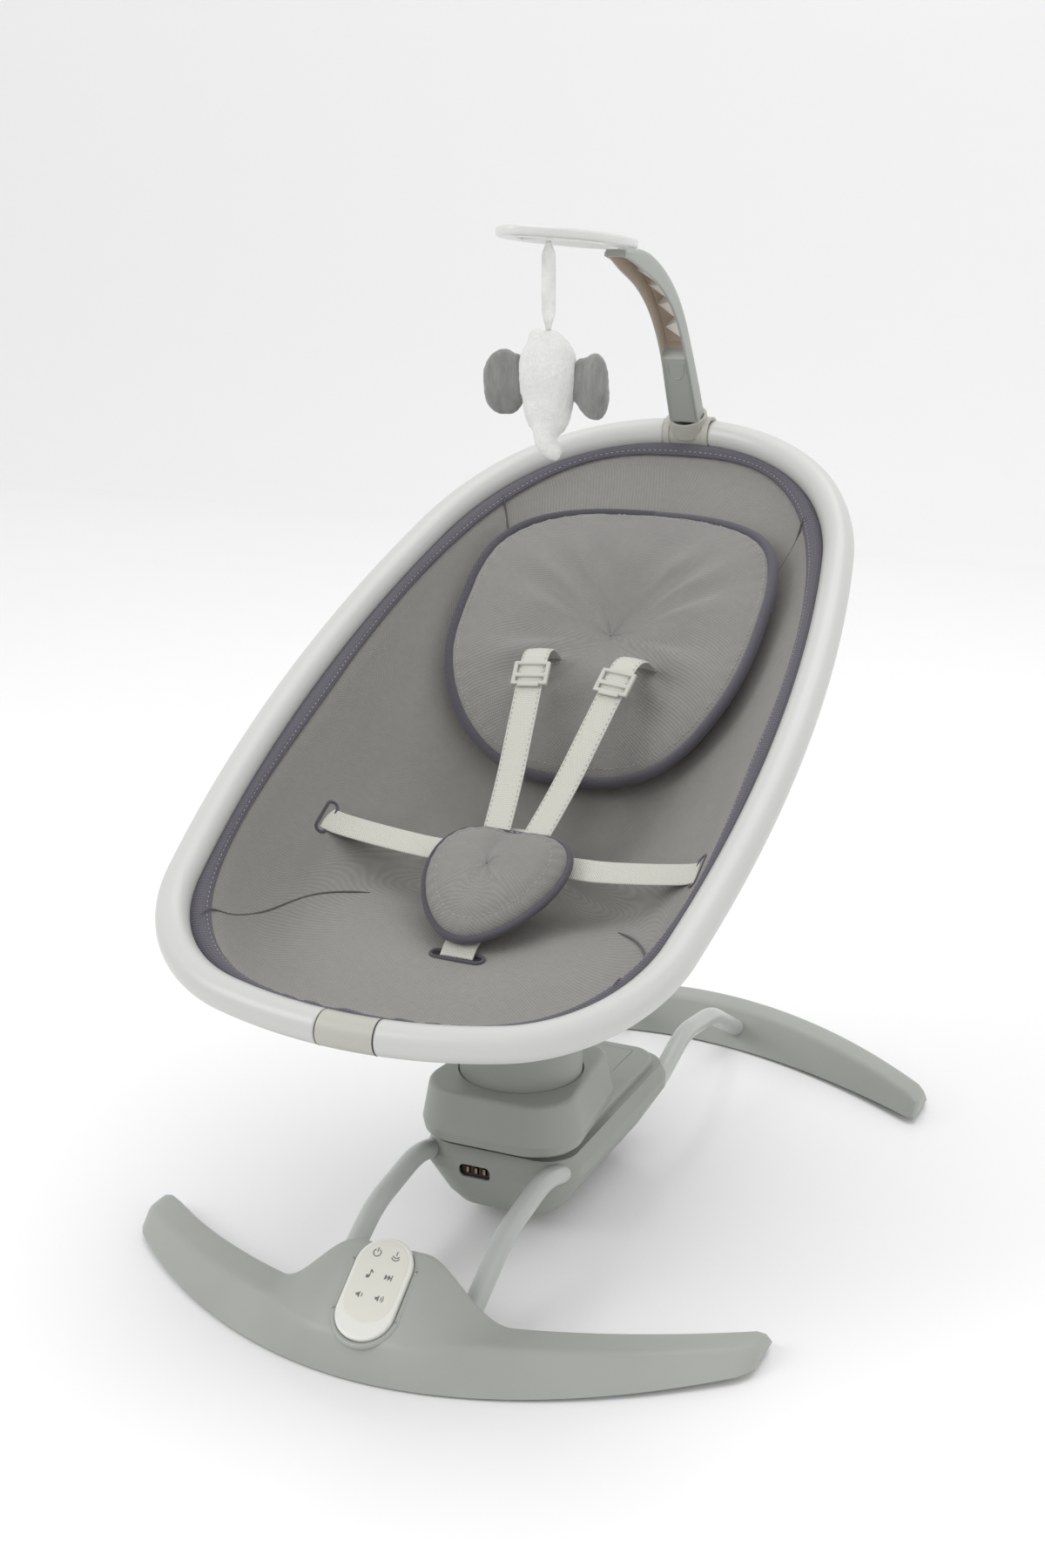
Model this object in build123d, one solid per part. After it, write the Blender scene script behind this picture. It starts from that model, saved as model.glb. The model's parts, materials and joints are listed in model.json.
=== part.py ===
from build123d import *
import math
import os

# Baby swing: two bowed feet, a drive housing hung between them on two bent tubes,
# and an oval seat that sways on a spindle. Millimetres, Z up, the seat faces -Y.

# ---- base ----
foot_span = 570.0          # straight line between the two ends of one foot
foot_reach = 365.0         # centre line of a foot from the middle of the base
foot_bow = 119.0           # how far a foot bows outwards
bow_power = 1.9
foot_height = 36.0
foot_end_height = 22.0
foot_bottom_half = 41.5
foot_bottom_end_half = 24.0
foot_top_half = 16.0
foot_top_end_half = 12.0
foot_lift = 1.5            # underside above the floor in the middle
foot_end_lift = 6.5        # underside above the floor at the pads
foot_wall = 3.0
nose_length = 8.0
tube_radius = 9.0
tube_wall = 1.5
tube_x = 61.0
running_fit = 0.08

# ---- control dock on the front foot ----
dock_half_width = 30.0     # flat middle of the hump
dock_fade = 105.0          # where the hump has run out into the foot
dock_back = (-331.0, 84.0)
dock_front = (-398.0, 33.0)
remote_length = 88.0
remote_width = 50.0
remote_depth = 15.0
remote_sink = 9.0
remote_centre = (0.0, -365.5, 61.0)
remote_lean = 54.0         # degrees between the remote and upright

# ---- housing ----
seam_z = 58.0
tub_bottom_z = 20.0
upper_top_z = 88.0
shell_wall = 2.6

# ---- swing ----
axis_y = -85.0
head_bottom_z = 91.0
head_top_z = 136.0
neck_radius = 55.0
spindle_radius = 9.0
gear_module = 1.5
sector_teeth = 54
pinion_teeth = 14
recline_axis = (0.0, -85.0, 222.0)

# ---- seat ----
seat_origin = (0.0, -37.5, 470.0)
seat_tilt = 26.75
ring_half_length = 397.0
ring_half_width = 226.0
ring_taper = -0.17         # the head end is narrower than the foot end
ring_power = 3.0
ring_radius = 14.0
fabric_thickness = 6.0

seat_plane = Plane(
    origin=seat_origin,
    x_dir=(1, 0, 0),
    z_dir=(0, -math.sin(math.radians(seat_tilt)), math.cos(math.radians(seat_tilt))),
)

# depth below the ring, foot-side reach, head-side reach, half width of the bowl
bowl_levels = [
    (0.0, -376.0, 376.0, 205.0),
    (22.0, -372.0, 350.0, 200.0),
    (48.0, -354.0, 262.0, 188.0),
    (66.0, -325.0, 188.0, 176.0),
    (80.0, -262.0, 138.0, 160.0),
    (100.0, -200.0, 82.0, 138.0),
    (122.0, -158.0, 22.0, 110.0),
    (138.0, -118.0, -30.0, 66.0),
]

parts = {}


def keep(name, shape):
    """Name a sub-part so that it is written as its own file."""
    shape.label = name
    parts[name] = shape


def mirrored(shape, plane=Plane.YZ):
    return mirror(shape, about=plane)


def smooth(t):
    """Ease from 0 to 1 with level ends."""
    t = min(max(t, 0.0), 1.0)
    return t * t * (3 - 2 * t)


# ------------------------------------------------------------------ faceted solids
def triangle(a, b, c):
    return Face(Wire.make_polygon([a, b, c], close=True))


def fan(loop, outward):
    """Close a loop of points with triangles that meet at its middle."""
    count = len(loop)
    middle = tuple(sum(p[i] for p in loop) / count for i in range(3))
    faces = []
    for i in range(count):
        pair = (loop[i], loop[(i + 1) % count])
        faces.append(triangle(middle, *pair) if outward else triangle(middle, *reversed(pair)))
    return faces


def faceted(loops):
    """A closed solid whose skin runs through the loops in turn, capped at both ends."""
    faces = fan(loops[0], False) + fan(loops[-1], True)
    for low, high in zip(loops, loops[1:]):
        for i in range(len(low)):
            j = (i + 1) % len(low)
            faces.append(triangle(low[i], low[j], high[j]))
            faces.append(triangle(low[i], high[j], high[i]))
    solid = Solid(Shell(faces))
    return solid if solid.volume > 0 else Solid(Shell([-face for face in faces]))


# ------------------------------------------------------------------ feet
def foot_line(x):
    """Distance of a foot's centre line from the middle of the base."""
    return foot_reach - foot_bow * (abs(x) / (foot_span / 2)) ** bow_power


def foot_lift_at(x):
    return foot_lift + (foot_end_lift - foot_lift) * (2 * x / foot_span) ** 2


def foot_corners(x, with_dock):
    """Back-bottom, back-top, front-top and front-bottom of the section at x (y, z)."""
    t = min(abs(2 * x / foot_span), 1.0)
    y = -foot_line(x)
    slant = math.hypot(1.0, foot_bow * bow_power * t ** (bow_power - 1) / (foot_span / 2))
    low = foot_bottom_half + (foot_bottom_end_half - foot_bottom_half) * t ** 2
    top = foot_top_half + (foot_top_end_half - foot_top_half) * t ** 2
    height = foot_height + (foot_end_height - foot_height) * t ** 2
    corners = [
        (y + low * slant, foot_lift_at(x)),
        (y + top * slant, height),
        (y - top * slant, height),
        (y - low * slant, foot_lift_at(x)),
    ]
    if with_dock:
        rise = 1 - smooth((abs(x) - dock_half_width) / (dock_fade - dock_half_width))
        blended = [corners[0]]
        for corner, target in ((corners[1], dock_back), (corners[2], dock_front)):
            blended.append(tuple(c + (g - c) * rise for c, g in zip(corner, target)))
        corners = blended + [corners[3]]
    return corners


def foot_loop(x, with_dock, inset=0.0, shrink=1.0):
    """One closed section of a foot, its top corners cut off as two short facets."""
    back_low, back_top, front_top, front_low = foot_corners(x, with_dock)
    middle = ((back_low[0] + front_low[0]) / 2, (back_top[1] + back_low[1]) / 2)
    drop = 1.0 if inset else 0.0
    back_low = (back_low[0] - inset * 1.3, back_low[1] - drop)
    front_low = (front_low[0] + inset * 1.3, front_low[1] - drop)
    back_top = (back_top[0] - inset, back_top[1] - inset)
    front_top = (front_top[0] + inset, front_top[1] - inset)
    corner = 4.0
    points = [back_low]
    for here, before, after in ((back_top, back_low, front_top), (front_top, back_top, front_low)):
        for other in (before, after):
            reach = math.dist(here, other)
            points.append(tuple(h + (o - h) * corner / reach for h, o in zip(here, other)))
    points.append(front_low)
    return [(x, *(m + (v - m) * shrink for m, v in zip(middle, point))) for point in points]


def foot_stations(with_dock):
    wide = [50.0, 100.0, 150.0, 200.0, 245.0]
    fine = [30.0, 48.0, 62.0, 78.0, 105.0, 150.0, 200.0, 245.0]
    half = (fine if with_dock else wide) + [foot_span / 2 - nose_length]
    return [-x for x in reversed(half)] + [0.0] + half


def foot_skin(with_dock, inset=0.0):
    loops = [foot_loop(x, with_dock, inset) for x in foot_stations(with_dock)]
    if not inset:
        end = foot_span / 2
        loops.insert(0, foot_loop(-end, with_dock, shrink=0.7))
        loops.append(foot_loop(end, with_dock, shrink=0.7))
    return faceted(loops)


def leg_wire(side):
    """Centre line of one bent tube, foot to foot."""
    half = [(104.0, 57.0), (170.0, 78.0), (250.0, 66.0), (336.0, 16.6)]
    points = [(side * tube_x, -y, z) for y, z in reversed(half)]
    points += [(side * tube_x, y, z) for y, z in half]
    return FilletPolyline(*points, radius=[100, 90, 90, 90, 90, 100])


def leg_tube(side):
    path = leg_wire(side)
    outer = sweep(Plane(origin=path @ 0, z_dir=path % 0) * Circle(tube_radius), path)
    inner = sweep(Plane(origin=path @ 0, z_dir=path % 0) * Circle(tube_radius - tube_wall), path)
    return outer - inner


def leg_bore(side):
    path = leg_wire(side)
    return sweep(Plane(origin=path @ 0, z_dir=path % 0) * Circle(tube_radius + running_fit), path)


def socket_boss(side, front, radius, start, length):
    """A round boss on the foot's inner face, in line with the tube's end."""
    path = leg_wire(side)
    if front:
        end, direction = path @ 0, path % 0 * -1
    else:
        end, direction = path @ 1, path % 1
    plane = Plane(origin=end - direction * start, z_dir=direction)
    return extrude(plane * Circle(radius), length)


def dock_plane():
    lean = math.radians(remote_lean)
    return Plane(
        origin=remote_centre,
        x_dir=(1, 0, 0),
        z_dir=(0, -math.cos(lean), math.sin(lean)),
    )


def pill(length, width, roundness=0.98):
    return RectangleRounded(width, length, width / 2 * roundness)


def make_feet():
    legs = {side: leg_bore(side) for side in (-1, 1)}
    for name, front in (("front_foot", True), ("rear_foot", False)):
        shell = foot_skin(front)
        hollow = foot_skin(front, foot_wall)
        if not front:
            shell = mirrored(shell, Plane.XZ)
            hollow = mirrored(hollow, Plane.XZ)
        shell -= hollow
        for side in (-1, 1):
            shell += socket_boss(side, front, 13.5, 28.0, 30.0)
            shell -= legs[side]
        if front:
            seat = dock_plane() * Pos(0, 0, -4.5)
            cradle = extrude(seat * pill(remote_length + 7, remote_width + 7), -remote_sink - 3)
            shell += cradle & foot_skin(True)
            pocket = extrude(dock_plane() * Pos(0, 0, -4.5 - remote_sink) * pill(
                remote_length + 1, remote_width + 1), 60)
            shell -= pocket
        keep(name, shell)


def make_foot_bases():
    """Flat covers that close the undersides of the feet."""
    inset = foot_wall * 1.3 + 7.0
    for name, front in (("front_foot_base", True), ("rear_foot_base", False)):
        reach = foot_span / 2 - 24
        steps = [reach * i / 5 for i in range(-5, 6)]
        outer = [(x, foot_corners(x, False)[3][0] + inset) for x in steps]
        inner = [(x, foot_corners(x, False)[0][0] - inset) for x in steps]
        outline = make_face(Polyline(*outer, *reversed(inner), close=True))
        plate = extrude(Plane.XY.offset(foot_end_lift) * outline, 2.0)
        if not front:
            plate = mirrored(plate, Plane.XZ)
        for side in (-1, 1):
            plate -= socket_boss(side, front, 13.7, 30.0, 40.0)
        keep(name, plate)


def make_foot_pads():
    pads = []
    for sx in (-1, 1):
        for sy in (-1, 1):
            x = sx * (foot_span / 2 - 26)
            turn = -sx * sy * math.degrees(math.atan(0.72))
            spot = Pos(x, sy * foot_line(x), 0) * Rot(0, 0, turn)
            pads.append(extrude(spot * RectangleRounded(26, 18, 6), foot_end_lift))
    keep("foot_pads", Compound(children=pads))


# ------------------------------------------------------------------ housing
def tray(z, half_width, front, back, radius):
    """A rounded rectangle at height z, from y = front to y = back."""
    spot = Plane.XY.offset(z) * Pos(0, (front + back) / 2)
    return spot * RectangleRounded(2 * half_width, back - front, radius)


def tub(inset=0.0):
    w = inset
    return loft([
        tray(tub_bottom_z + w, 50 - w, -136 + w, 74 - w, 30 - w),
        tray(tub_bottom_z + 10, 58 - w, -143 + w, 86 - w, 33 - w),
        tray(seam_z, 74 - w, -152 + w, 114 - w, 34 - w),
    ], ruled=True)


def lid(inset=0.0):
    w = inset
    body = extrude(tray(seam_z, 74 - w, -152 + w, 114 - w, 34 - w), 10)
    body += loft([
        tray(seam_z + 10, 74 - w, -152 + w, 114 - w, 34 - w),
        tray(seam_z + 22 - w / 2, 69 - w, -147 + w, 109 - w, 30 - w),
    ], ruled=True)
    body += extrude(tray(seam_z + 20, 62 - w, -140 + w, 102 - w, 26 - w), upper_top_z - seam_z - 20 - w)
    return body


panel_centre = (6.0, 62.0)
panel_size = (66.0, 54.0)


def port_opening(extra=0.0):
    plane = Plane(origin=(-15, -160, 59), x_dir=(1, 0, 0), z_dir=(0, 1, 0))
    return plane * RectangleRounded(30 + extra, 13 + extra, 5)


def make_housing():
    bores = leg_bore(-1) + leg_bore(1)
    slot = extrude(port_opening(), 24)
    lower = tub() - tub(shell_wall) - bores - slot
    lower += Pos(0, axis_y, tub_bottom_z + 1) * Cylinder(15, 13, align=(Align.CENTER, Align.CENTER, Align.MIN))
    lower -= Pos(0, axis_y, tub_bottom_z + 4) * Cylinder(11.06, 20, align=(Align.CENTER, Align.CENTER, Align.MIN))
    upper = lid()
    top_edges = upper.faces().sort_by(Axis.Z)[-1].edges()
    upper = fillet(top_edges, 5)
    upper = upper - lid(shell_wall) - bores - slot
    collar_top = Pos(0, axis_y, upper_top_z - 12)
    upper += collar_top * Cylinder(19, 12, align=(Align.CENTER, Align.CENTER, Align.MIN))
    upper -= collar_top * Cylinder(16.06, 9, align=(Align.CENTER, Align.CENTER, Align.MIN))
    upper -= collar_top * Cylinder(11, 30, align=(Align.CENTER, Align.CENTER, Align.MIN))
    flat = Plane.XY.offset(upper_top_z - 2) * Pos(*panel_centre)
    upper -= extrude(flat * RectangleRounded(panel_size[0] + 0.8, panel_size[1] + 0.8, 3.4), 5)
    upper -= extrude(flat * RectangleRounded(panel_size[0] - 8, panel_size[1] - 8, 3), -10)
    screws = []
    posts = []
    for x, y in ((-38, -112), (38, -112), (-36, 52), (36, 52)):
        post = Pos(x, y, tub_bottom_z + 2) * Cylinder(5, seam_z - tub_bottom_z - 2, align=(Align.CENTER, Align.CENTER, Align.MIN))
        lower += post
        lower -= Pos(x, y, 10) * Cylinder(2.1, 60, align=(Align.CENTER, Align.CENTER, Align.MIN))
        lower -= Pos(x, y, 10) * Cylinder(4.1, 16, align=(Align.CENTER, Align.CENTER, Align.MIN))
        boss = Pos(x, y, seam_z) * Cylinder(5, upper_top_z - seam_z - 2, align=(Align.CENTER, Align.CENTER, Align.MIN))
        posts.append(boss)
        bore = Pos(x, y, seam_z - 1) * Cylinder(1.6, 19, align=(Align.CENTER, Align.CENTER, Align.MIN))
        screws.append(
            Pos(x, y, 23) * Cylinder(3.8, 2.9, align=(Align.CENTER, Align.CENTER, Align.MIN))
            + Pos(x, y, 25) * Cylinder(1.55, 50, align=(Align.CENTER, Align.CENTER, Align.MIN))
        )
        upper += boss
        upper -= bore
    keep("housing_lower", lower)
    keep("housing_upper", upper)
    keep("housing_screws", Compound(children=screws))
    keep("service_panel", extrude(flat * RectangleRounded(panel_size[0], panel_size[1], 3), 2))
    back = Plane(origin=(-15, -160, 59), x_dir=(1, 0, 0), z_dir=(0, 1, 0))
    block = extrude(back.offset(13) * RectangleRounded(29.6, 12.6, 4.8), 9)
    for x in (-8, 0, 8):
        block -= extrude(back.offset(13) * Pos(x, 0) * RectangleRounded(5, 7, 1), 3)
    keep("port_insert", block)


def make_leg_parts():
    keep("leg_tube_left", leg_tube(-1))
    keep("leg_tube_right", leg_tube(1))
    clamps = []
    for side in (-1, 1):
        for y in (-70, 40):
            block = Pos(side * (tube_x - 6), y, 57) * Box(16, 12, 24)
            block -= Pos(side * tube_x, y, 57) * Rot(90, 0, 0) * Cylinder(tube_radius + 0.05, 30)
            clamps.append(block)
    keep("tube_clamps", Compound(children=[solid for clamp in clamps for solid in clamp.solids()]))


# ------------------------------------------------------------------ drive
def gear(teeth, thickness, bore, first_angle=0.0, count=None):
    """A spur gear with straight-sided teeth; count limits it to a sector."""
    pitch = gear_module * teeth / 2
    root = pitch - 1.15 * gear_module
    tip = pitch + 0.8 * gear_module
    count = teeth if count is None else count
    blank = Circle(root)
    step = 360.0 / teeth
    half = 0.21 * math.pi * gear_module
    for i in range(count):
        angle = first_angle + (i - (count - 1) / 2) * step
        tooth = make_face(Polyline(
            (root - 1.5, -half * 1.55), (root, -half * 1.5), (pitch, -half), (tip, -half * 0.55),
            (tip, half * 0.55), (pitch, half), (root, half * 1.5), (root - 1.5, half * 1.55),
            close=True,
        ))
        blank += Rot(0, 0, angle) * tooth
    if count < teeth:
        reach = tip + 5
        spread = math.radians(count * step / 2 + 4)
        base = math.radians(first_angle)
        wedge = make_face(Polyline(
            (0, 0),
            (reach * 1.2 * math.cos(base - spread), reach * 1.2 * math.sin(base - spread)),
            (reach * 2 * math.cos(base), reach * 2 * math.sin(base)),
            (reach * 1.2 * math.cos(base + spread), reach * 1.2 * math.sin(base + spread)),
            close=True,
        ))
        blank = (blank & wedge) + Circle(bore + 6)
    return extrude(blank - Circle(bore), thickness)


def make_drive():
    low = (Align.CENTER, Align.CENTER, Align.MIN)
    gear_z = 42.0
    centre_gap = gear_module * (sector_teeth + pinion_teeth) / 2
    pinion_y = axis_y + centre_gap
    at_axis = Pos(0, axis_y, 0)
    at_pinion = Pos(0, pinion_y, 0)
    spindle = at_axis * Pos(0, 0, 26) * Cylinder(7, 12, align=low)
    spindle += at_axis * Pos(0, 0, 38) * Cylinder(spindle_radius, 50, align=low)
    spindle += at_axis * Pos(0, 0, 88) * Cylinder(spindle_radius, 6, align=low)
    spindle += at_axis * Pos(0, 0, 94) * Cylinder(26, 5, align=low)
    keep("spindle", spindle)
    sector = gear(sector_teeth, 9, spindle_radius, 90.0, 15)
    keep("sector_gear", at_axis * Pos(0, 0, gear_z) * sector)
    phase = 270.0 + 180.0 / pinion_teeth if pinion_teeth % 2 else 270.0
    pinion = gear(pinion_teeth, 11, 3.0, phase)
    keep("pinion", at_pinion * Pos(0, 0, gear_z - 1) * pinion)
    keep("motor_shaft", at_pinion * Pos(0, 0, gear_z - 2) * Cylinder(3.0, 24, align=low))
    motor = at_pinion * Pos(0, 0, 57) * Cylinder(17, 12, align=low)
    motor += at_pinion * Pos(0, 0, 69) * Cylinder(14, 13, align=low)
    motor -= at_pinion * Pos(0, 0, 50) * Cylinder(3.06, 16, align=low)
    keep("drive_motor", motor)
    plate = at_pinion * Pos(0, 0, 54.4) * Box(84, 26, 2.5, align=low)
    plate -= at_pinion * Pos(0, 0, 50) * Cylinder(8, 10, align=low)
    for x in (-38, 38):
        plate += at_pinion * Pos(x, 0, tub_bottom_z + 2.7) * Box(6, 12, 31.7, align=low)
    keep("motor_bracket", plate)
    lower = at_axis * Pos(0, 0, tub_bottom_z + 4.05) * (Cylinder(11, 9, align=low) - Cylinder(7.04, 9, align=low))
    upper = at_axis * Pos(0, 0, 76.2) * (Cylinder(16, 8.6, align=low) - Cylinder(9.04, 8.6, align=low))
    keep("lower_bearing", lower)
    keep("upper_bearing", upper)
    keep("circuit_board", Pos(0, 28, tub_bottom_z + 8) * Box(62, 76, 1.6, align=low) + Pos(-14, 34, 29.6) * Box(14, 14, 4, align=low)
         + Pos(14, 14, 29.6) * Cylinder(5, 12, align=low))
    speaker = Pos(6, 62, 74) * (Cylinder(20, 3, align=low) + Pos(0, 0, -9) * Cylinder(11, 9, align=low))
    keep("speaker", speaker)


# ------------------------------------------------------------------ swing head
def head_outline(z, inset=0.0):
    """Rounded trapezoid, wide at the front, around the spindle."""
    w = inset
    outline = make_face(Polyline(
        (-80 + w, -166 + w), (80 - w, -166 + w), (62 - w, -6 - w), (-62 + w, -6 - w), close=True,
    ))
    front = outline.vertices().sort_by(Axis.Y)[:2]
    outline = fillet(front, 44 - w)
    back = [v for v in outline.vertices() if v.Y > -40]
    return Plane.XY.offset(z) * fillet(back, 24 - w)


def make_swing_head():
    low = (Align.CENTER, Align.CENTER, Align.MIN)
    body = loft([head_outline(head_bottom_z, 2), head_outline(head_bottom_z + 9, 0)], ruled=True)
    body += loft([head_outline(head_bottom_z + 9, 0), head_outline(head_top_z, 7)], ruled=True)
    body = fillet(body.faces().sort_by(Axis.Z)[-1].edges(), 5)
    body -= loft([head_outline(head_bottom_z - 1, 5), head_outline(head_top_z - 3, 11)], ruled=True)
    at_axis = Pos(0, axis_y, 0)
    body += at_axis * Pos(0, 0, 99) * Cylinder(30, head_top_z - 101, align=low)
    body -= at_axis * Pos(0, 0, 90) * Cylinder(3.2, 70, align=low)
    body -= at_axis * Pos(0, 0, head_top_z - 6) * Cylinder(neck_radius + 1.2, 10, align=low)
    cup = Cylinder(neck_radius + 3.6, 8, align=low) - Pos(0, 0, 3) * Cylinder(neck_radius + 1.2, 8, align=low)
    body += at_axis * Pos(0, 0, head_top_z - 9.5) * cup
    keep("swing_head", body)
    neck = at_axis * Pos(0, 0, head_top_z - 6) * Cylinder(neck_radius, 42, align=low)
    neck += at_axis * Pos(0, 0, head_top_z + 36) * Cone(neck_radius, 41, 30, align=low)
    knuckle = Circle(20) + Pos(0, -17) * Rectangle(37, 34)
    side_view = Plane(origin=(-38, *recline_axis[1:]), x_dir=(0, 1, 0), z_dir=(1, 0, 0))
    neck += extrude(side_view * knuckle, 76)
    neck -= Pos(0, recline_axis[1], 192) * Box(42.6, 120, 80, align=low)
    neck -= Pos(*recline_axis) * Rot(0, 90, 0) * Cylinder(6.0, 120)
    neck -= Pos(36, 0, 0) * Pos(*recline_axis) * Rot(0, 90, 0) * Cylinder(10.1, 4.02)
    neck -= at_axis * Pos(0, 0, 120) * Cylinder(34, 40, align=low)
    keep("neck_post", neck)
    pin = Pos(*recline_axis) * Pos(-2, 0, 0) * Rot(0, 90, 0) * Cylinder(6.0, 72)
    pin += Pos(*recline_axis) * Pos(-40, 0, 0) * Rot(0, 90, 0) * Cylinder(9, 4)
    keep("recline_pin", pin)
    button = Pos(41.5, 0, 0) * Pos(*recline_axis) * Rot(0, 90, 0) * Cylinder(10.0, 7.0)
    keep("recline_button", button)
    washers = []
    for angle in range(0, 360, 90):
        spot = at_axis * Rot(0, 0, 45 + angle) * Pos(18, 0, 99.05)
        screw = spot * Cylinder(2.0, 10, align=low) + spot * Pos(0, 0, -8.05) * Cylinder(3.8, 3, align=low)
        screw += spot * Pos(0, 0, -6) * Cylinder(2.0, 7, align=low)
        washers.append(screw)
    holes = washers[0] + washers[1] + washers[2] + washers[3]
    keep("spindle", parts["spindle"] - holes)
    keep("swing_head", parts["swing_head"] - holes)
    keep("spindle_screws", Compound(children=washers))


# ------------------------------------------------------------------ seat ring
def ring_arcs():
    """Turning angle and radius of each arc, from the foot end round +X to the head end."""
    turns = [0.0, 14.0, 82.0, 102.0, 122.0, 180.0]
    radii = [486.0, 135.0, None, 274.0, None]
    sines = [math.sin(math.radians(t)) for t in turns]
    cosines = [math.cos(math.radians(t)) for t in turns]
    across = [b - a for a, b in zip(sines, sines[1:])]
    along = [a - b for a, b in zip(cosines, cosines[1:])]
    known = [(r, x, y) for r, x, y in zip(radii, across, along) if r is not None]
    need_x = -sum(r * x for r, x, _ in known)
    need_y = 2 * ring_half_length - sum(r * y for r, _, y in known)
    det = across[2] * along[4] - across[4] * along[2]
    radii[2] = (need_x * along[4] - across[4] * need_y) / det
    radii[4] = (across[2] * need_y - need_x * along[2]) / det
    return turns, radii


def ring_path(side):
    """Centre line of half the ring, in the ring's own plane."""
    turns, radii = ring_arcs()
    here = Vector(0, -ring_half_length)
    edges = []
    for first, last, radius in zip(turns, turns[1:], radii):
        ends = []
        for turn in (first, (first + last) / 2, last):
            a, b = math.radians(first), math.radians(turn)
            step = Vector(math.sin(b) - math.sin(a), math.cos(a) - math.cos(b)) * radius
            ends.append(here + step)
        edges.append(ThreePointArc(*[(side * p.X, p.Y) for p in ends]))
        here = ends[-1]
    return Wire(edges)


def ring_solid(side, radius):
    path = ring_path(side)
    return sweep(Plane(origin=path @ 0, z_dir=path % 0) * Circle(radius), path)


def ring_width_at(along):
    """Distance of the ring's centre line from the middle at a place along the seat."""
    path = ring_path(1)
    steps = [path @ (i / 200) for i in range(201)]
    return min(steps, key=lambda p: abs(p.Y - along)).X


def ring_stretch(at_head, half, radius):
    """A short length of the ring across its middle, at the head or at the foot end."""
    bend = ring_arcs()[1][4 if at_head else 0]
    end = ring_half_length if at_head else -ring_half_length
    sag = (bend - math.sqrt(bend * bend - half * half)) * (-1 if at_head else 1)
    path = ThreePointArc((-half, end + sag), (0, end), (half, end + sag))
    return sweep(Plane(origin=path @ 0, z_dir=path % 0) * Circle(radius), path)


def make_ring():
    sleeve_half = 24.0
    collar_half = 23.0
    foot_cut = Pos(0, -ring_half_length, 0) * Box(2 * sleeve_half + 1.8, 80, 80)
    head_cut = Pos(0, ring_half_length, 0) * Box(2 * collar_half + 2.8, 80, 80)
    for name, side in (("ring_tube_left", -1), ("ring_tube_right", 1)):
        bored = ring_solid(side, ring_radius) - ring_solid(side, ring_radius - 1.6)
        keep(name, seat_plane * (bored - foot_cut - head_cut))
    keep("foot_sleeve", seat_plane * ring_stretch(False, sleeve_half, ring_radius))
    make_collar(ring_stretch(True, collar_half - 0.4, ring_radius), collar_half)


def make_collar(collar, half):
    """Collar at the head end, with the socket that the toy bar stands in."""
    at_head = Pos(0, ring_half_length, 0)
    collar += at_head * Rot(0, 90, 0) * Cylinder(ring_radius + 1.6, 2 * half - 12)
    for side in (-1, 1):
        collar += at_head * Pos(side * (half - 3.1), 0, 0) * Rot(0, 90, 0) * Cylinder(ring_radius + 2.6, 6)
    collar += at_head * Pos(0, 0, 12) * Cylinder(19, 16)
    collar += at_head * Pos(0, -12.8, -11) * Box(42, 11, 5)
    collar -= at_head * Pos(0, 0, 21) * Cylinder(16.2, 16)
    collar -= at_head * Pos(0, 0, 14) * Cylinder(8.06, 26)
    keep("head_collar", seat_plane * collar)


# ------------------------------------------------------------------ cradle under the seat
cradle_radius = 8.0
cradle_depth = 166.0
cradle_places = {"cradle_tube_front": -105.0, "cradle_tube_rear": -15.0}


def cradle_path(along):
    width = ring_width_at(along) - 2
    half = [(118, -cradle_depth), (206, -66), (width, -ring_radius - 0.4)]
    points = [(-x, along, z) for x, z in reversed(half)] + [(x, along, z) for x, z in half]
    return FilletPolyline(*points, radius=[60, 60, 60, 60])


def cradle_tube(along, radius):
    path = cradle_path(along)
    return sweep(Plane(origin=path @ 0, z_dir=path % 0) * Circle(radius), path)


def make_cradle():
    clamps = []
    for name, along in cradle_places.items():
        tube = cradle_tube(along, cradle_radius)
        keep(name, seat_plane * (tube - cradle_tube(along, cradle_radius - 1.5)))
        width = ring_width_at(along) - 12
        for side in (-1, 1):
            clamp = Pos(side * width, along, -15) * Box(22, 26, 20)
            clamp -= ring_solid(side, ring_radius + 0.1)
            clamp -= cradle_tube(along, cradle_radius + 0.1)
            clamps.append(seat_plane * clamp.solids().sort_by(SortBy.VOLUME)[-1])
    keep("ring_clamps", Compound(children=clamps))
    side_view = make_face(Polyline(
        (-172, -208), (-150, -221), (6, -187), (6, -156), (-122, -156), (-172, -190), close=True,
    ))
    plane = Plane(origin=(-21, 0, 0), x_dir=(0, 1, 0), z_dir=(1, 0, 0))
    bracket = seat_plane * extrude(plane * side_view, 42)
    bracket += Pos(*recline_axis) * Rot(0, 90, 0) * Cylinder(19, 42)
    bracket -= Pos(*recline_axis) * Rot(0, 90, 0) * Cylinder(6.05, 120)
    for along in cradle_places.values():
        bracket -= seat_plane * cradle_tube(along, cradle_radius + 0.05)
    keep("seat_bracket", bracket)


# ------------------------------------------------------------------ soft goods
def bowl_level(depth, inset=0.0):
    """Middle, half length and half width of the bowl at a depth under the ring."""
    table = bowl_levels
    for low, high in zip(table, table[1:]):
        if depth <= high[0] or high is table[-1]:
            share = min((depth - low[0]) / (high[0] - low[0]), 1.0)
            foot, head, wide = (a + (b - a) * share for a, b in zip(low[1:], high[1:]))
            return (foot + head) / 2, (head - foot) / 2 - inset, wide - inset


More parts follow.
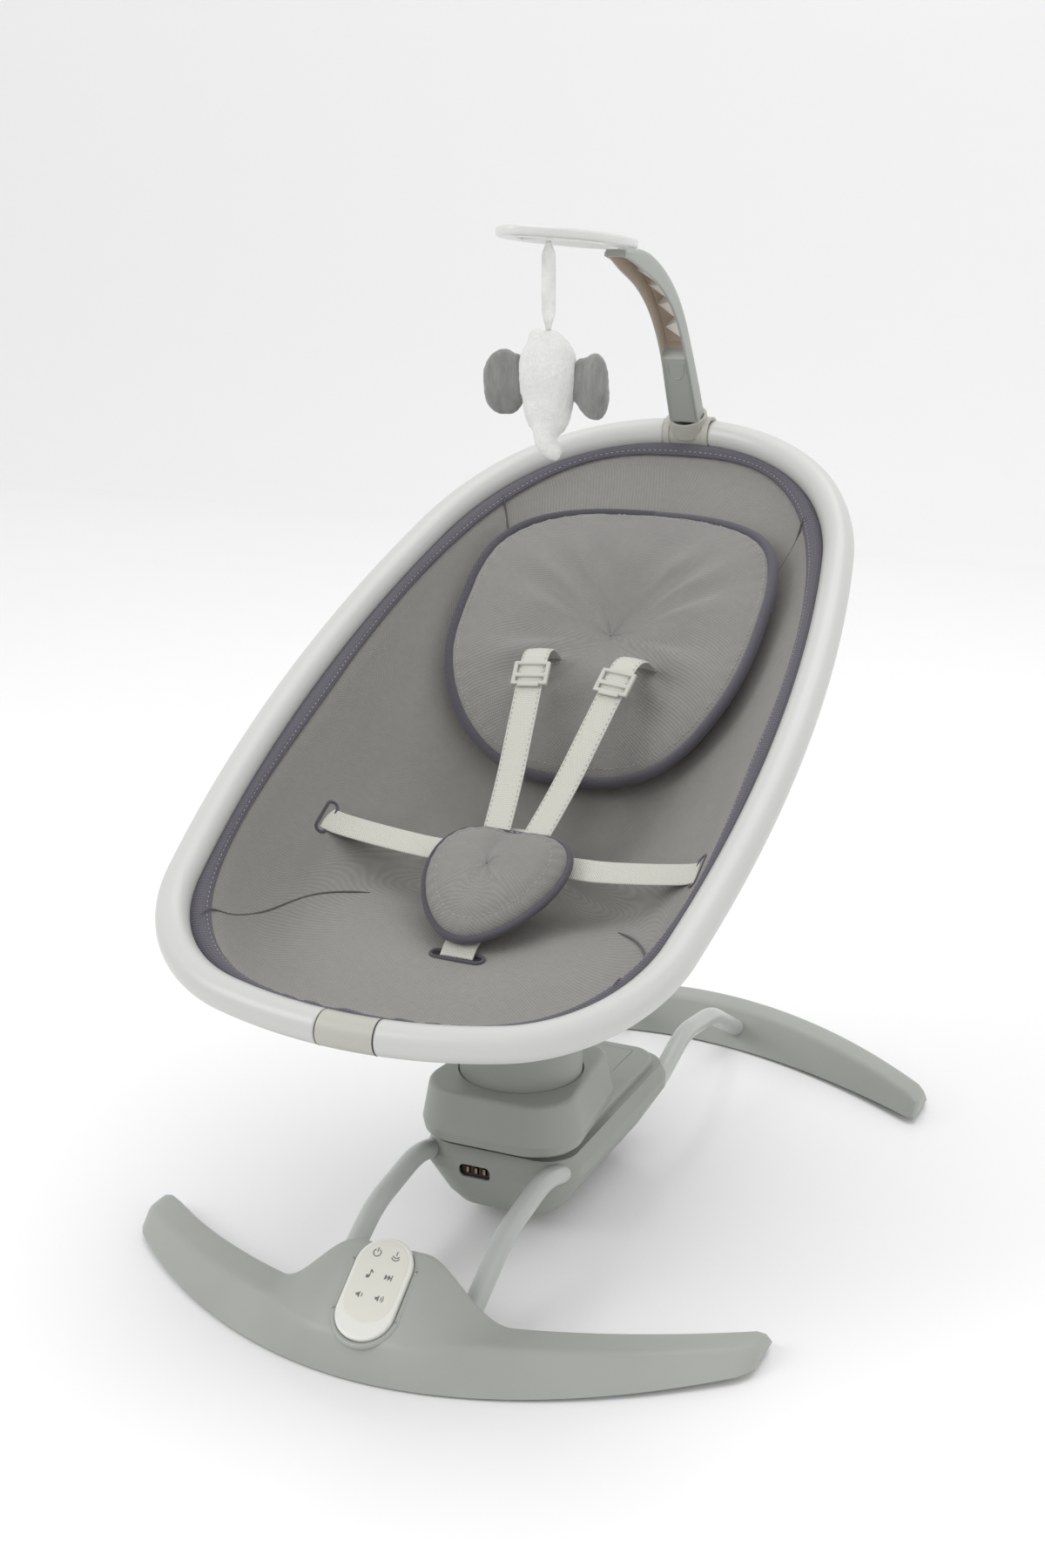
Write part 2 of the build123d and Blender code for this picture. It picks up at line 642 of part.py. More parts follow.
def bowl_loop(depth, inset=0.0, lower=0.0, count=20):
    middle, length, width = bowl_level(depth, inset)
    points = []
    for i in range(count):
        angle = 2 * math.pi * i / count
        c, s = math.cos(angle), math.sin(angle)
        along = math.copysign(abs(c) ** (2 / ring_power), c) * length
        across = math.copysign(abs(s) ** (2 / ring_power), s) * width * (1 + ring_taper * c)
        points.append((across, middle + along, -depth - lower))
    return points


def bowl_depth(across, along):
    """Depth of the bowl's inside at a place in the ring's plane."""
    found = 0.0
    for step in range(0, 139):
        middle, length, width = bowl_level(step, fabric_thickness)
        t = abs((along - middle) / length)
        if t >= 1:
            break
        taper = 1 + ring_taper * math.copysign(t ** (ring_power / 2), along - middle)
        if abs(across) > width * taper * (1 - t ** ring_power) ** (1 / ring_power):
            break
        found = float(step)
    return found


def make_fabric():
    depths = [level[0] for level in bowl_levels]
    outer = [bowl_loop(d, 0.0, fabric_thickness if d else 0.0) for d in reversed(depths)]
    inner = [bowl_loop(d, fabric_thickness) for d in depths]
    keep("seat_fabric", seat_plane * faceted(outer + inner))


def pillow_edge(count=20):
    """Outline of the head pillow, seen square to the ring."""
    points = []
    for i in range(count):
        angle = 2 * math.pi * i / count
        c, s = math.cos(angle), math.sin(angle)
        along = 142 + math.copysign(abs(c) ** 0.75, c) * 134
        across = math.copysign(abs(s) ** 0.75, s) * (142 + 6 * c)
        points.append((across, along))
    return points


def make_pillow():
    edge = pillow_edge()
    loops = []
    for scale, rise in ((0.5, 2.5), (0.92, 3.5), (1.04, 18.0), (0.9, 29.0), (0.5, 29.0)):
        loop = []
        for across, along in edge:
            x, y = across * scale, 142 + (along - 142) * scale
            loop.append((x, y, rise - bowl_depth(x, y)))
        loops.append(loop)
    keep("head_pillow", seat_plane * faceted(loops))


def band(points, width, thick):
    """A strap seen from the side as a line of (along, up) points, extruded across."""
    upper = [(a, b + thick) for a, b in reversed(points)]
    plane = Plane(origin=(-width / 2, 0, 0), x_dir=(0, 1, 0), z_dir=(1, 0, 0))
    return extrude(plane * make_face(Polyline(*points, *upper, close=True)), width)


def make_harness():
    """Three-point harness, fastened, its straps clear of the seat and the pillow."""
    adjusters = []
    for name, side in (("shoulder_strap_left", -1), ("shoulder_strap_right", 1)):
        line = [(-112, -76), (-40, -62), (40, -38), (76, -27), (98, -38), (107, -56)]
        place = Pos(side * 33, 0, 0) * Rot(0, 0, -side * 8)
        strap = place * band(line, 25, 1.6)
        keep(name, seat_plane * strap)
        plate = place * Pos(0, 56, -31) * Rot(17, 0, 0) * Box(34, 22, 4.4)
        adjusters.append(seat_plane * (plate - place * band(line, 26, 2.4)))
    keep("strap_adjusters", Compound(children=adjusters))
    waist = []
    for side in (-1, 1):
        under = [(27, -88), (84, -81), (122, -73), (166, -64)]
        over = [(x, n + 1.6) for x, n in reversed(under)]
        run = make_face(Polyline(*[(side * x, n) for x, n in under + over], close=True))
        plane = Plane(origin=(0, -122, 0), x_dir=(1, 0, 0), z_dir=(0, -1, 0))
        waist.append(seat_plane * extrude(plane * run, -25))
    keep("waist_straps", Compound(children=waist))
    keep("crotch_strap", seat_plane * band([(-234, -80), (-205, -86), (-180, -90), (-137, -91)], 30, 2.0))
    buckle = Pos(0, -112, -88) * Box(52, 46, 14)
    keep("buckle", seat_plane * fillet(buckle.edges().filter_by(Axis.Z), 10))
    edge = []
    for i in range(20):
        angle = 2 * math.pi * i / 20
        c, s = math.cos(angle), math.sin(angle)
        notch = 16 * max(c, 0) ** 3
        edge.append(((58 + 12 * c) * s, -158 + 68 * c - notch))
    loops = []
    for scale, up in ((0.7, -76.0), (1.0, -70.0), (1.0, -62.0), (0.7, -54.0)):
        loops.append([(x * scale, -158 + (y + 158) * scale, up) for x, y in edge])
    keep("crotch_pad", seat_plane * faceted(loops))


# ------------------------------------------------------------------ toy bar
arm_points = [(397, 30), (397, 88), (386, 156), (344, 218), (301, 254)]
tray_centre = (0.0, 12.0, 850.0)
tray_pitch = -6.0
tray_half_length = 112.0
tray_half_width = 44.0
toy_hang = (0.0, -30.0, 849.6)


def arm_route(first, last):
    """Part of the toy bar's centre line, as (0, along, up) in the ring's plane."""
    points = [(0, a, b) for a, b in arm_points[first:last]]
    radii = [90, 110, 130][first:first + len(points) - 2]
    return FilletPolyline(*points, radius=radii)


def make_toy_bar():
    path = arm_route(0, 5)
    start = Plane(origin=path @ 0, x_dir=(1, 0, 0), z_dir=path % 0)
    bar = sweep(start * RectangleRounded(27, 20, 6), path)
    inner = arm_route(1, 5)
    start = Plane(origin=inner @ 0, x_dir=(1, 0, 0), z_dir=inner % 0)
    groove = sweep(start * Pos(0, 7) * Rectangle(21, 20), inner)
    if groove.center().Y > bar.center().Y:
        groove = sweep(start * Pos(0, -7) * Rectangle(21, 20), inner)
    body = bar - groove
    for share in (0.2, 0.4, 0.6, 0.8):
        spot = Plane(origin=inner @ share, x_dir=(1, 0, 0), z_dir=inner % share)
        body += extrude(spot * Rectangle(26, 14), 1.6) & bar
    at_head = Pos(0, ring_half_length, 0)
    body += at_head * Pos(0, 0, 22.9) * Cylinder(15.6, 19)
    body += at_head * Pos(0, 0, 11) * Cylinder(8.0, 17)
    body = seat_plane * body
    tray = make_tray()
    keep("toy_bar", body - tray)
    keep("toy_tray", tray)


def make_tray():
    """Oval ring with a bar across it, under which the toy hangs."""
    plate = extrude(Ellipse(tray_half_width, tray_half_length), 9)
    plate = fillet(plate.edges(), 3.5)
    plate -= Pos(0, 0, -2) * extrude(Ellipse(tray_half_width - 17, tray_half_length - 24), 20)
    plate += Pos(0, toy_hang[1] - tray_centre[1], 2) * Box(2 * tray_half_width - 28, 7, 4)
    return Pos(*tray_centre) * Rot(tray_pitch, 0, 0) * Pos(0, 0, -4.5) * plate


def make_toy():
    low = (Align.CENTER, Align.CENTER, Align.MAX)
    x, y, z = toy_hang
    keep("toy_ribbon", Pos(x, y, z - 0.8) * Box(11, 1.2, 69.2, align=low))
    profile = [(0, 0), (17, -10), (25, -42), (18, -76), (0, -96)]
    torso = make_face([Spline(*profile), Line(profile[-1], profile[0])])
    torso = revolve(Plane.XZ * torso, Axis.Z)
    trunk = Pos(0, -8, -94) * Sphere(12)
    body = Pos(x, y, z - 70.2) * (torso + trunk)
    keep("toy_body", body)
    ears = []
    for side in (-1, 1):
        ear = Pos(x + side * 40, y + 2, z - 117) * Rot(0, 0, -side * 15) * Box(34, 15, 56)
        ears.append(fillet(ear.edges().filter_by(Axis.Z), 6) - body)
    keep("toy_ears", Compound(children=ears))


# ------------------------------------------------------------------ remote
key_spots = [(-8.5, 29.0), (8.5, 29.0), (-8.5, 10.5), (8.5, 10.5), (-8.5, -8.0), (8.5, -8.0)]
key_names = ["key_power", "key_timer", "key_music", "key_next", "key_volume_down", "key_volume_up"]


def make_remote():
    here = dock_plane() * Pos(0, 0, -4.5 - remote_sink + 0.4)
    body = extrude(pill(remote_length, remote_width), remote_depth)
    body = fillet(body.edges().group_by(Axis.Z)[0], 4)
    body = fillet(body.edges().group_by(Axis.Z)[-1], 2)
    body -= Pos(0, 6, remote_depth - 1.2) * extrude(pill(remote_length - 22, remote_width - 8), 4)
    body -= Pos(0, 5, 3) * extrude(RectangleRounded(remote_width - 13, remote_length - 27, 8), 20)
    keep("remote_body", here * body)
    face = Pos(0, 6, remote_depth - 1.15) * extrude(pill(remote_length - 22.4, remote_width - 8.4), 1.0)
    keep("remote_face", here * face)
    board = Pos(0, 5, 9.4) * extrude(RectangleRounded(remote_width - 14, remote_length - 28, 7), 1.0)
    keep("remote_board", here * board)
    cell = Pos(0, 2, 3.4) * Cylinder(10, 3.2, align=(Align.CENTER, Align.CENTER, Align.MIN))
    keep("remote_battery", here * cell)
    for name, (x, y) in zip(key_names, key_spots):
        key = Pos(x, y, 11.2) * Cylinder(4.2, remote_depth - 1.2 - 11.2 - 0.05, align=(Align.CENTER, Align.CENTER, Align.MIN))
        keep(name, here * key)


# ------------------------------------------------------------------ build
def write_parts():
    os.makedirs("parts", exist_ok=True)
    for name, shape in parts.items():
        export_step(shape, f"parts/{name}.step")


make_feet()
make_foot_bases()
make_foot_pads()
make_housing()
make_leg_parts()
make_drive()
make_swing_head()
make_ring()
make_cradle()
make_fabric()
make_pillow()
make_harness()
make_toy_bar()
make_toy()
make_remote()
write_parts()
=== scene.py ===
import bisect
import json
import math

import bmesh
import bpy
from mathutils import Matrix, Vector, noise


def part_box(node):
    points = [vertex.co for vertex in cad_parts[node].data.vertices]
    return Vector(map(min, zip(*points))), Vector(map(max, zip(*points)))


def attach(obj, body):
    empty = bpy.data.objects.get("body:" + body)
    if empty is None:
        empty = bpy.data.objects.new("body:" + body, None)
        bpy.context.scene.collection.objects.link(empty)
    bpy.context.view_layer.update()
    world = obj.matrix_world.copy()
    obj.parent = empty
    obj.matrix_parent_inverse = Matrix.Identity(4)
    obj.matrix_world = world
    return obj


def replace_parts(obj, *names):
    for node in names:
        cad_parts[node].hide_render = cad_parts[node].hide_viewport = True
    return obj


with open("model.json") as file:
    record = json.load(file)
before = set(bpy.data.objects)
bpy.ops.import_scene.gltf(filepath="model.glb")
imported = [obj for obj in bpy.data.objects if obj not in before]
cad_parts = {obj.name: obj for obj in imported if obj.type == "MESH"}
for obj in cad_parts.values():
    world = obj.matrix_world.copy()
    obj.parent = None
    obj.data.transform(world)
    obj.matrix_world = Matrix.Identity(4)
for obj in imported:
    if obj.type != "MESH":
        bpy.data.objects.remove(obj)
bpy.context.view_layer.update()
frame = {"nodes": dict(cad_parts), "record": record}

MM = 0.001
both_sides = ((-1, "left"), (1, "right"))
nodes = frame["nodes"]

# ---- seat plane: x across, s towards the head, n up from the ring
seat_origin = Vector((0.0, -37.5, 470.0))
seat_tilt = math.radians(26.75)
seat_s = Vector((0.0, math.cos(seat_tilt), math.sin(seat_tilt)))
seat_n = Vector((0.0, -math.sin(seat_tilt), math.cos(seat_tilt)))
ring_half_length = 397.0
ring_radius = 14.0
ring_power = 3.0
ring_taper = -0.17
bowl_levels = [
    (0.0, -376.0, 376.0, 205.0),
    (22.0, -372.0, 350.0, 200.0),
    (48.0, -354.0, 262.0, 188.0),
    (66.0, -325.0, 188.0, 176.0),
    (80.0, -262.0, 138.0, 160.0),
    (100.0, -200.0, 82.0, 138.0),
    (122.0, -158.0, 22.0, 110.0),
    (138.0, -118.0, -30.0, 66.0),
]

# ---- feet, as in the CAD
foot_span = 570.0
foot_reach = 365.0
foot_bow = 119.0
bow_power = 1.9
foot_heights = (36.0, 22.0)
foot_bottoms = (41.5, 24.0)
foot_tops = (16.0, 12.0)
foot_lifts = (1.5, 6.5)
dock_half_width = 30.0
dock_fade = 105.0
dock_back = (-331.0, 84.0)
dock_front = (-398.0, 33.0)
remote_length = 88.0
remote_width = 50.0
remote_depth = 15.0
remote_sink = 9.0
remote_centre = Vector((0.0, -365.5, 61.0))
remote_lean = math.radians(54.0)

# ---- toy
toy_hang = Vector((0.0, -30.0, 849.6))
ribbon_length = 70.0


def seat(x, s, n):
    """A place given across, along and above the ring, in metres."""
    return (seat_origin + Vector((x, 0, 0)) + seat_s * s + seat_n * n) * MM


def smooth(t):
    t = min(max(t, 0.0), 1.0)
    return t * t * (3 - 2 * t)


def mix(a, b, t):
    return a + (b - a) * t


def bent(value, power):
    """The power of a number's size, with the number's sign."""
    return math.copysign(abs(value) ** power, value)


# ---- camera
camera_place = Vector((0.7378, -1.7043, 0.9501))
camera_target = Vector((-0.0893, 0.1142, 0.3325))
camera_height_angle = math.radians(39.68)


def make_camera():
    data = bpy.data.cameras.new("camera")
    data.sensor_fit = "VERTICAL"
    data.angle = camera_height_angle
    data.clip_start = 0.05
    camera = bpy.data.objects.new("camera", data)
    camera.location = camera_place
    camera.rotation_euler = (camera_target - camera_place).to_track_quat("-Z", "Y").to_euler()
    bpy.context.scene.collection.objects.link(camera)
    bpy.context.scene.camera = camera


# ---- mesh helpers
def add_piece(mesh, body, slot, finish=None):
    """A piece named after its mesh, in the look of its slot or in another one."""
    piece = bpy.data.objects.new(mesh.name, mesh)
    bpy.context.scene.collection.objects.link(piece)
    mesh.materials.append(look[finish or slot])
    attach(piece, body)
    return piece


def round_angles(count):
    return [2 * math.pi * k / count for k in range(count)]


def shade_smooth(mesh):
    mesh.polygons.foreach_set("use_smooth", [True] * len(mesh.polygons))


def shade_by_angle(piece, degrees):
    shade_smooth(piece.data)
    piece.data.set_sharp_from_angle(angle=math.radians(degrees))


def build_mesh(name, points, faces, uvs=None, flat=False):
    mesh = bpy.data.meshes.new(name)
    mesh.from_pydata([tuple(p) for p in points], [], faces)
    if uvs:
        layer = mesh.uv_layers.new(name="cloth")
        for loop, uv in zip(layer.data, uvs):
            loop.uv = uv
    mesh.polygons.foreach_set("use_smooth", [not flat] * len(mesh.polygons))
    mesh.update()
    return mesh


def grid_mesh(name, rows, around=True, cap=(False, False)):
    """Quads between rows of points. UVs run in metres along and across the cloth."""
    count = len(rows[0])
    points = [p for row in rows for p in row]
    run = [[0.0] for _ in rows]
    for distances, row in zip(run, rows):
        for j in range(count):
            distances.append(distances[-1] + (row[(j + 1) % count] - row[j]).length)
    rise = [[0.0] * count]
    for before, row in zip(rows, rows[1:]):
        rise.append([rise[-1][j] + (row[j] - before[j]).length for j in range(count)])
    faces, uvs = [], []
    for i in range(len(rows) - 1):
        for j in range(count if around else count - 1):
            k = (j + 1) % count
            faces.append((i * count + j, i * count + k, (i + 1) * count + k, (i + 1) * count + j))
            for row, column in ((i, j), (i, j + 1), (i + 1, j + 1), (i + 1, j)):
                uvs.append((run[row][column] - run[row][count] / 2, rise[row][column % count]))
    for wanted, row in zip(cap, (0, len(rows) - 1)):
        if wanted:
            loop = [row * count + j for j in range(count)]
            if row == 0:
                loop.reverse()
            faces.append(tuple(loop))
            uvs.extend((points[k].x, points[k].y) for k in loop)
    return build_mesh(name, points, faces, uvs)


def frames_along(line, closed=False, up=None):
    """Tangent, side and up vectors at each point of a line, turned as little as possible."""
    count = len(line)
    result = []
    side = None
    for i in range(count):
        before = line[(i - 1) % count] if closed or i else line[0]
        after = line[(i + 1) % count] if closed or i < count - 1 else line[-1]
        tangent = (after - before).normalized()
        if up is not None:
            side = tangent.cross(up).normalized()
        else:
            side = side or tangent.orthogonal().normalized()
            side = (side - tangent * side.dot(tangent)).normalized()
        result.append((tangent, side, side.cross(tangent).normalized()))
    return result


def tube_mesh(name, line, radius, closed=False, sides=12):
    """A round tube along a line; radius is a number or a function of the share 0 to 1."""
    rows = []
    for i, (_, side, up) in enumerate(frames_along(line, closed)):
        r = radius(i / (len(line) - 1)) if callable(radius) else radius
        rows.append([line[i] + (side * math.cos(a) + up * math.sin(a)) * r for a in round_angles(sides)])
    if closed:
        rows.append(rows[0])
    return grid_mesh(name, rows, cap=(not closed, not closed))


strap_profile = (
    (-1.0, 0.35), (-0.96, 0.8), (-0.9, 1.0), (-0.5, 1.0), (0.0, 1.0),
    (0.5, 1.0), (0.9, 1.0), (0.96, 0.8), (1.0, 0.35),
)


def strap_mesh(name, line, width, thick, bow):
    """Flat webbing along a line, facing out of the seat and bowed up in its middle."""
    rows = []
    for place, (_, side, up) in zip(line, frames_along(line, False, seat_n)):
        row = []
        for face in (1, -1):
            for a, edge in strap_profile[::face]:
                lift = face * thick / 2 * edge + bow * (1 - a * a)
                row.append(place + side * (width / 2 * a) + up * lift)
        rows.append(row)
    return grid_mesh(name, rows, cap=(True, True))


def spline_line(points, count):
    """Points along a smooth curve through the given ones."""
    held = [points[0] * 2 - points[1], *points, points[-1] * 2 - points[-2]]
    spans = len(points) - 1
    line = []
    for k in range(count):
        t = k / (count - 1) * spans
        i = min(int(t), spans - 1)
        t -= i
        a, b, c, d = held[i:i + 4]
        square = (2 * a - 5 * b + 4 * c - d) * t ** 2
        cube = (3 * b - a - 3 * c + d) * t ** 3
        line.append(0.5 * (2 * b + (c - a) * t + square + cube))
    return line


def mesh_from(name, made):
    """A mesh from a bmesh, which it frees."""
    mesh = bpy.data.meshes.new(name)
    made.to_mesh(mesh)
    made.free()
    return mesh


def join_meshes(name, meshes):
    joined = bmesh.new()
    for mesh in meshes:
        joined.from_mesh(mesh)
        bpy.data.meshes.remove(mesh)
    return mesh_from(name, joined)


def rounded_box(size, place, bevel, turn=Matrix.Identity(4)):
    """A moulded block with rolled edges, in metres."""
    made = bmesh.new()
    bmesh.ops.create_cube(made, size=1.0)
    bmesh.ops.scale(made, vec=size, verts=made.verts)
    bmesh.ops.bevel(made, geom=list(made.edges), offset=bevel, segments=3, affect="EDGES", profile=0.6)
    bmesh.ops.transform(made, matrix=Matrix.Translation(place) @ turn, verts=made.verts)
    mesh = mesh_from("block", made)
    shade_smooth(mesh)
    return mesh


def face_outwards(mesh):
    made = bmesh.new()
    made.from_mesh(mesh)
    bmesh.ops.recalc_face_normals(made, faces=made.faces)
    made.to_mesh(mesh)
    made.free()


def apply_modifiers(piece):
    bpy.context.view_layer.update()
    graph = bpy.context.evaluated_depsgraph_get()
    mesh = bpy.data.meshes.new_from_object(piece.evaluated_get(graph))
    piece.modifiers.clear()
    piece.data = mesh


def thicken(piece, thickness, offset=-1.0):
    """Gives a sheet its thickness."""
    step = piece.modifiers.new("cloth", "SOLIDIFY")
    step.thickness = thickness
    step.offset = offset
    apply_modifiers(piece)


def relax(mesh, rounds):
    """Evens out a mesh by moving its points halfway to their neighbours' middle."""
    made = bmesh.new()
    made.from_mesh(mesh)
    made.verts.ensure_lookup_table()
    for _ in range(rounds):
        moved = {}
        for vert in made.verts:
            if not vert.is_boundary:
                near = [edge.other_vert(vert).co for edge in vert.link_edges]
                moved[vert.index] = vert.co.lerp(sum(near, Vector()) / len(near), 0.5)
        for index, place in moved.items():
            made.verts[index].co = place
    made.to_mesh(mesh)
    made.free()
    mesh.update()


stitch_length = 0.0030
stitch_gap = 0.0024
stitch_radius = 0.00042
stitch_sides = 6


def stitch_mesh(name, line, normals=None):
    """A row of short raised stitches along a line."""
    normals = normals or [seat_n] * len(line)
    travelled = [0.0]
    for a, b in zip(line, line[1:]):
        travelled.append(travelled[-1] + (b - a).length)

    def at(distance):
        i = min(max(bisect.bisect_left(travelled, distance) - 1, 0), len(line) - 2)
        share = (distance - travelled[i]) / max(travelled[i + 1] - travelled[i], 1e-9)
        return line[i].lerp(line[i + 1], share), normals[i]

    here = stitch_gap / 2
    points, faces = [], []
    n = stitch_sides
    while here + stitch_length < travelled[-1]:
        (start, up), (middle, _), (end, _) = (at(here + stitch_length * share) for share in (0, 0.5, 1))
        side = (end - start).normalized().cross(up).normalized()
        first = len(points)
        for centre, size, lift in ((start, 0.5, -0.3), (middle, 1.0, 0.9), (end, 0.5, -0.3)):
            for a in round_angles(n):
                out = (side * math.cos(a) + up * math.sin(a)) * size
                points.append(centre + (up * lift + out) * stitch_radius)
        for ring in (first, first + n):
            for k in range(n):
                m = (k + 1) % n
                faces.append((ring + k, ring + m, ring + n + m, ring + n + k))
        faces.append(tuple(first + k for k in reversed(range(n))))
        faces.append(tuple(first + 2 * n + k for k in range(n)))
        here += stitch_length + stitch_gap
    return build_mesh(name, points, faces)


# ---- materials
class Nodes:
    """Short names for building one material's node tree."""

    def __init__(self, name, color, roughness, **values):
        self.material = bpy.data.materials.new(name)
        self.material.use_nodes = True
        self.tree = self.material.node_tree
        self.shader = self.tree.nodes["Principled BSDF"]
        self.color = color
        self.put(self.shader, base_color=(*color, 1), roughness=roughness, **values)

    def put(self, node, **values):
        """Sets a node's own sockets, named in small letters."""
        for key, value in values.items():
            node.inputs[key.replace("_", " ").title()].default_value = value

    def add(self, kind, **values):
        node = self.tree.nodes.new(kind)
        self.put(node, **values)
        return node

    def link(self, output, target):
        self.tree.links.new(output, target)

    def math(self, operation, a, b=0.0, c=None):
        node = self.add("ShaderNodeMath")
        node.operation = operation
        for value, socket in zip((a, b, c), node.inputs):
            if isinstance(value, (int, float)):
                socket.default_value = value
            elif value is not None:
                self.link(value, socket)
        return node.outputs[0]

    def wave(self, along, pace):
        return self.math("SINE", self.math("MULTIPLY", along, pace))

    def cloth(self):
        """The cloth's own two directions, in metres."""
        node = self.add("ShaderNodeUVMap")
        node.uv_map = "cloth"
        split = self.add("ShaderNodeSeparateXYZ")
        self.link(node.outputs[0], split.inputs[0])
        return split.outputs[0], split.outputs[1]

    def noise(self, scale, detail=2.0, stretch=None, roughness=0.5):
        node = self.add("ShaderNodeTexNoise", scale=scale, detail=detail, roughness=roughness)
        place = self.add("ShaderNodeTexCoord").outputs["Object"]
        if stretch:
            mapping = self.add("ShaderNodeMapping", scale=stretch)
            self.link(place, mapping.inputs[0])
            place = mapping.outputs[0]
        self.link(place, node.inputs["Vector"])
        return node.outputs["Fac"]

    def paint(self, factor, dark, light, low=0.0, high=1.0):
        """Colour that runs from dark to light shares of the material's own colour."""
        ramp = self.add("ShaderNodeValToRGB")
        for element, share, place in zip(ramp.color_ramp.elements, (dark, light), (low, high)):
            element.position = place
            element.color = (*[min(c * share, 1.0) for c in self.color], 1)
        self.link(factor, ramp.inputs[0])
        self.link(ramp.outputs[0], self.shader.inputs["Base Color"])

    def rough(self, factor, low, high):
        node = self.add("ShaderNodeMapRange", to_min=low, to_max=high)
        self.link(factor, node.inputs[0])
        self.link(node.outputs[0], self.shader.inputs["Roughness"])

    def bump(self, *layers):
        """Each layer is (height, depth in metres)."""
        normal = None
        for height, depth in layers:
            node = self.add("ShaderNodeBump", strength=1.0, distance=depth)
            self.link(height, node.inputs["Height"])
            if normal:
                self.link(normal, node.inputs["Normal"])
            normal = node.outputs[0]
        self.link(normal, self.shader.inputs["Normal"])


def moulded(name, color, roughness=0.42, grain=0.00004, coat=0.0):
    """Injection-moulded plastic with a fine spark-eroded grain and a little soiling."""
    made = Nodes(name, color, roughness, coat_weight=coat, coat_roughness=0.12)
    made.paint(made.noise(9.0, 3.0), 0.95, 1.05, 0.3, 0.7)
    made.rough(made.noise(30.0, 4.0), roughness - 0.06, roughness + 0.08)
    made.bump((made.noise(1900.0, 2.0), grain), (made.noise(45.0, 1.0), 0.00012))
    return made.material


def painted(name, color, roughness=0.3):
    """Powder coat over steel or aluminium, with a faint orange peel."""
    made = Nodes(name, color, roughness, coat_weight=0.25, coat_roughness=0.2)
    made.paint(made.noise(6.0, 2.0), 0.98, 1.02, 0.3, 0.7)
    made.rough(made.noise(9.0, 2.0), roughness - 0.01, roughness + 0.02)
    made.bump((made.noise(260.0, 1.0), 0.000002))
    return made.material


def woven(name, color, pitch=0.0031, depth=0.0004, sheen=0.22):
    """Bird's-eye weave: a lattice of small raised eyes with darker gaps."""
    made = Nodes(name, color, 0.85, sheen_weight=sheen, sheen_roughness=0.45)
    waves = [made.wave(d, 2 * math.pi / pitch) for d in made.cloth()]
    height = made.math("MULTIPLY_ADD", made.math("MULTIPLY", *waves), 0.5, 0.5)
    blotch = made.math("MULTIPLY", made.noise(160.0, 3.0), 0.36)
    made.paint(made.math("ADD", made.math("MULTIPLY", height, 0.72), blotch), 0.82, 1.12, 0.12, 0.92)
    made.bump((made.noise(26.0, 3.0), 0.0008), (height, depth))
    return made.material


def ribbed(name, color, pitch=0.0016, depth=0.00022, roughness=0.62):
    """Webbing: ribs across the strap and a herringbone of fine yarn."""
    made = Nodes(name, color, roughness, sheen_weight=0.2)
    across, along = made.cloth()
    ribs = made.wave(along, 2 * math.pi / pitch)
    slant = made.math("MULTIPLY", made.math("ABSOLUTE", across), 2200.0)
    yarn = made.math("SINE", made.math("ADD", slant, made.math("MULTIPLY", along, 2600.0)))
    height = made.math("MULTIPLY_ADD", ribs, 0.4, 0.5)
    made.paint(made.math("ADD", height, made.math("MULTIPLY", yarn, 0.16)), 0.86, 1.08, 0.1, 0.9)
    made.bump((height, depth), (yarn, depth * 0.5), (made.noise(300.0, 2.0), 0.0001))
    return made.material


def pile(name, color, scale, depth, stretch=None, sheen=0.5, dark=0.8, light=1.15):
    """Plush or velour: dense soft fibres that catch the light at a grazing angle."""
    made = Nodes(name, color, 0.95, sheen_weight=sheen, sheen_roughness=0.5)
    tufts = made.noise(scale, 4.0, stretch, 0.7)
    broad = made.math("MULTIPLY", made.noise(40.0, 2.0), 0.3)
    made.paint(made.math("ADD", made.math("MULTIPLY", tufts, 0.7), broad), dark, light, 0.25, 0.75)
    made.bump((made.noise(60.0, 3.0), 0.0016), (tufts, depth))
    return made.material


def satin(name, color):
    made = Nodes(name, color, 0.3, sheen_weight=0.3)
    warp = made.wave(made.cloth()[0], 9000.0)
    made.paint(made.noise(120.0, 3.0), 0.9, 1.08, 0.3, 0.7)
    made.bump((warp, 0.00003), (made.noise(110.0, 2.0), 0.0006))
    return made.material


def bare_metal(name, color, roughness=0.3):
    made = Nodes(name, color, roughness, metallic=1.0)
    streaks = made.noise(90.0, 4.0, (1, 1, 12))
    made.rough(streaks, roughness - 0.08, roughness + 0.14)
    made.paint(streaks, 0.92, 1.04, 0.3, 0.7)
    made.bump((streaks, 0.00002))
    return made.material


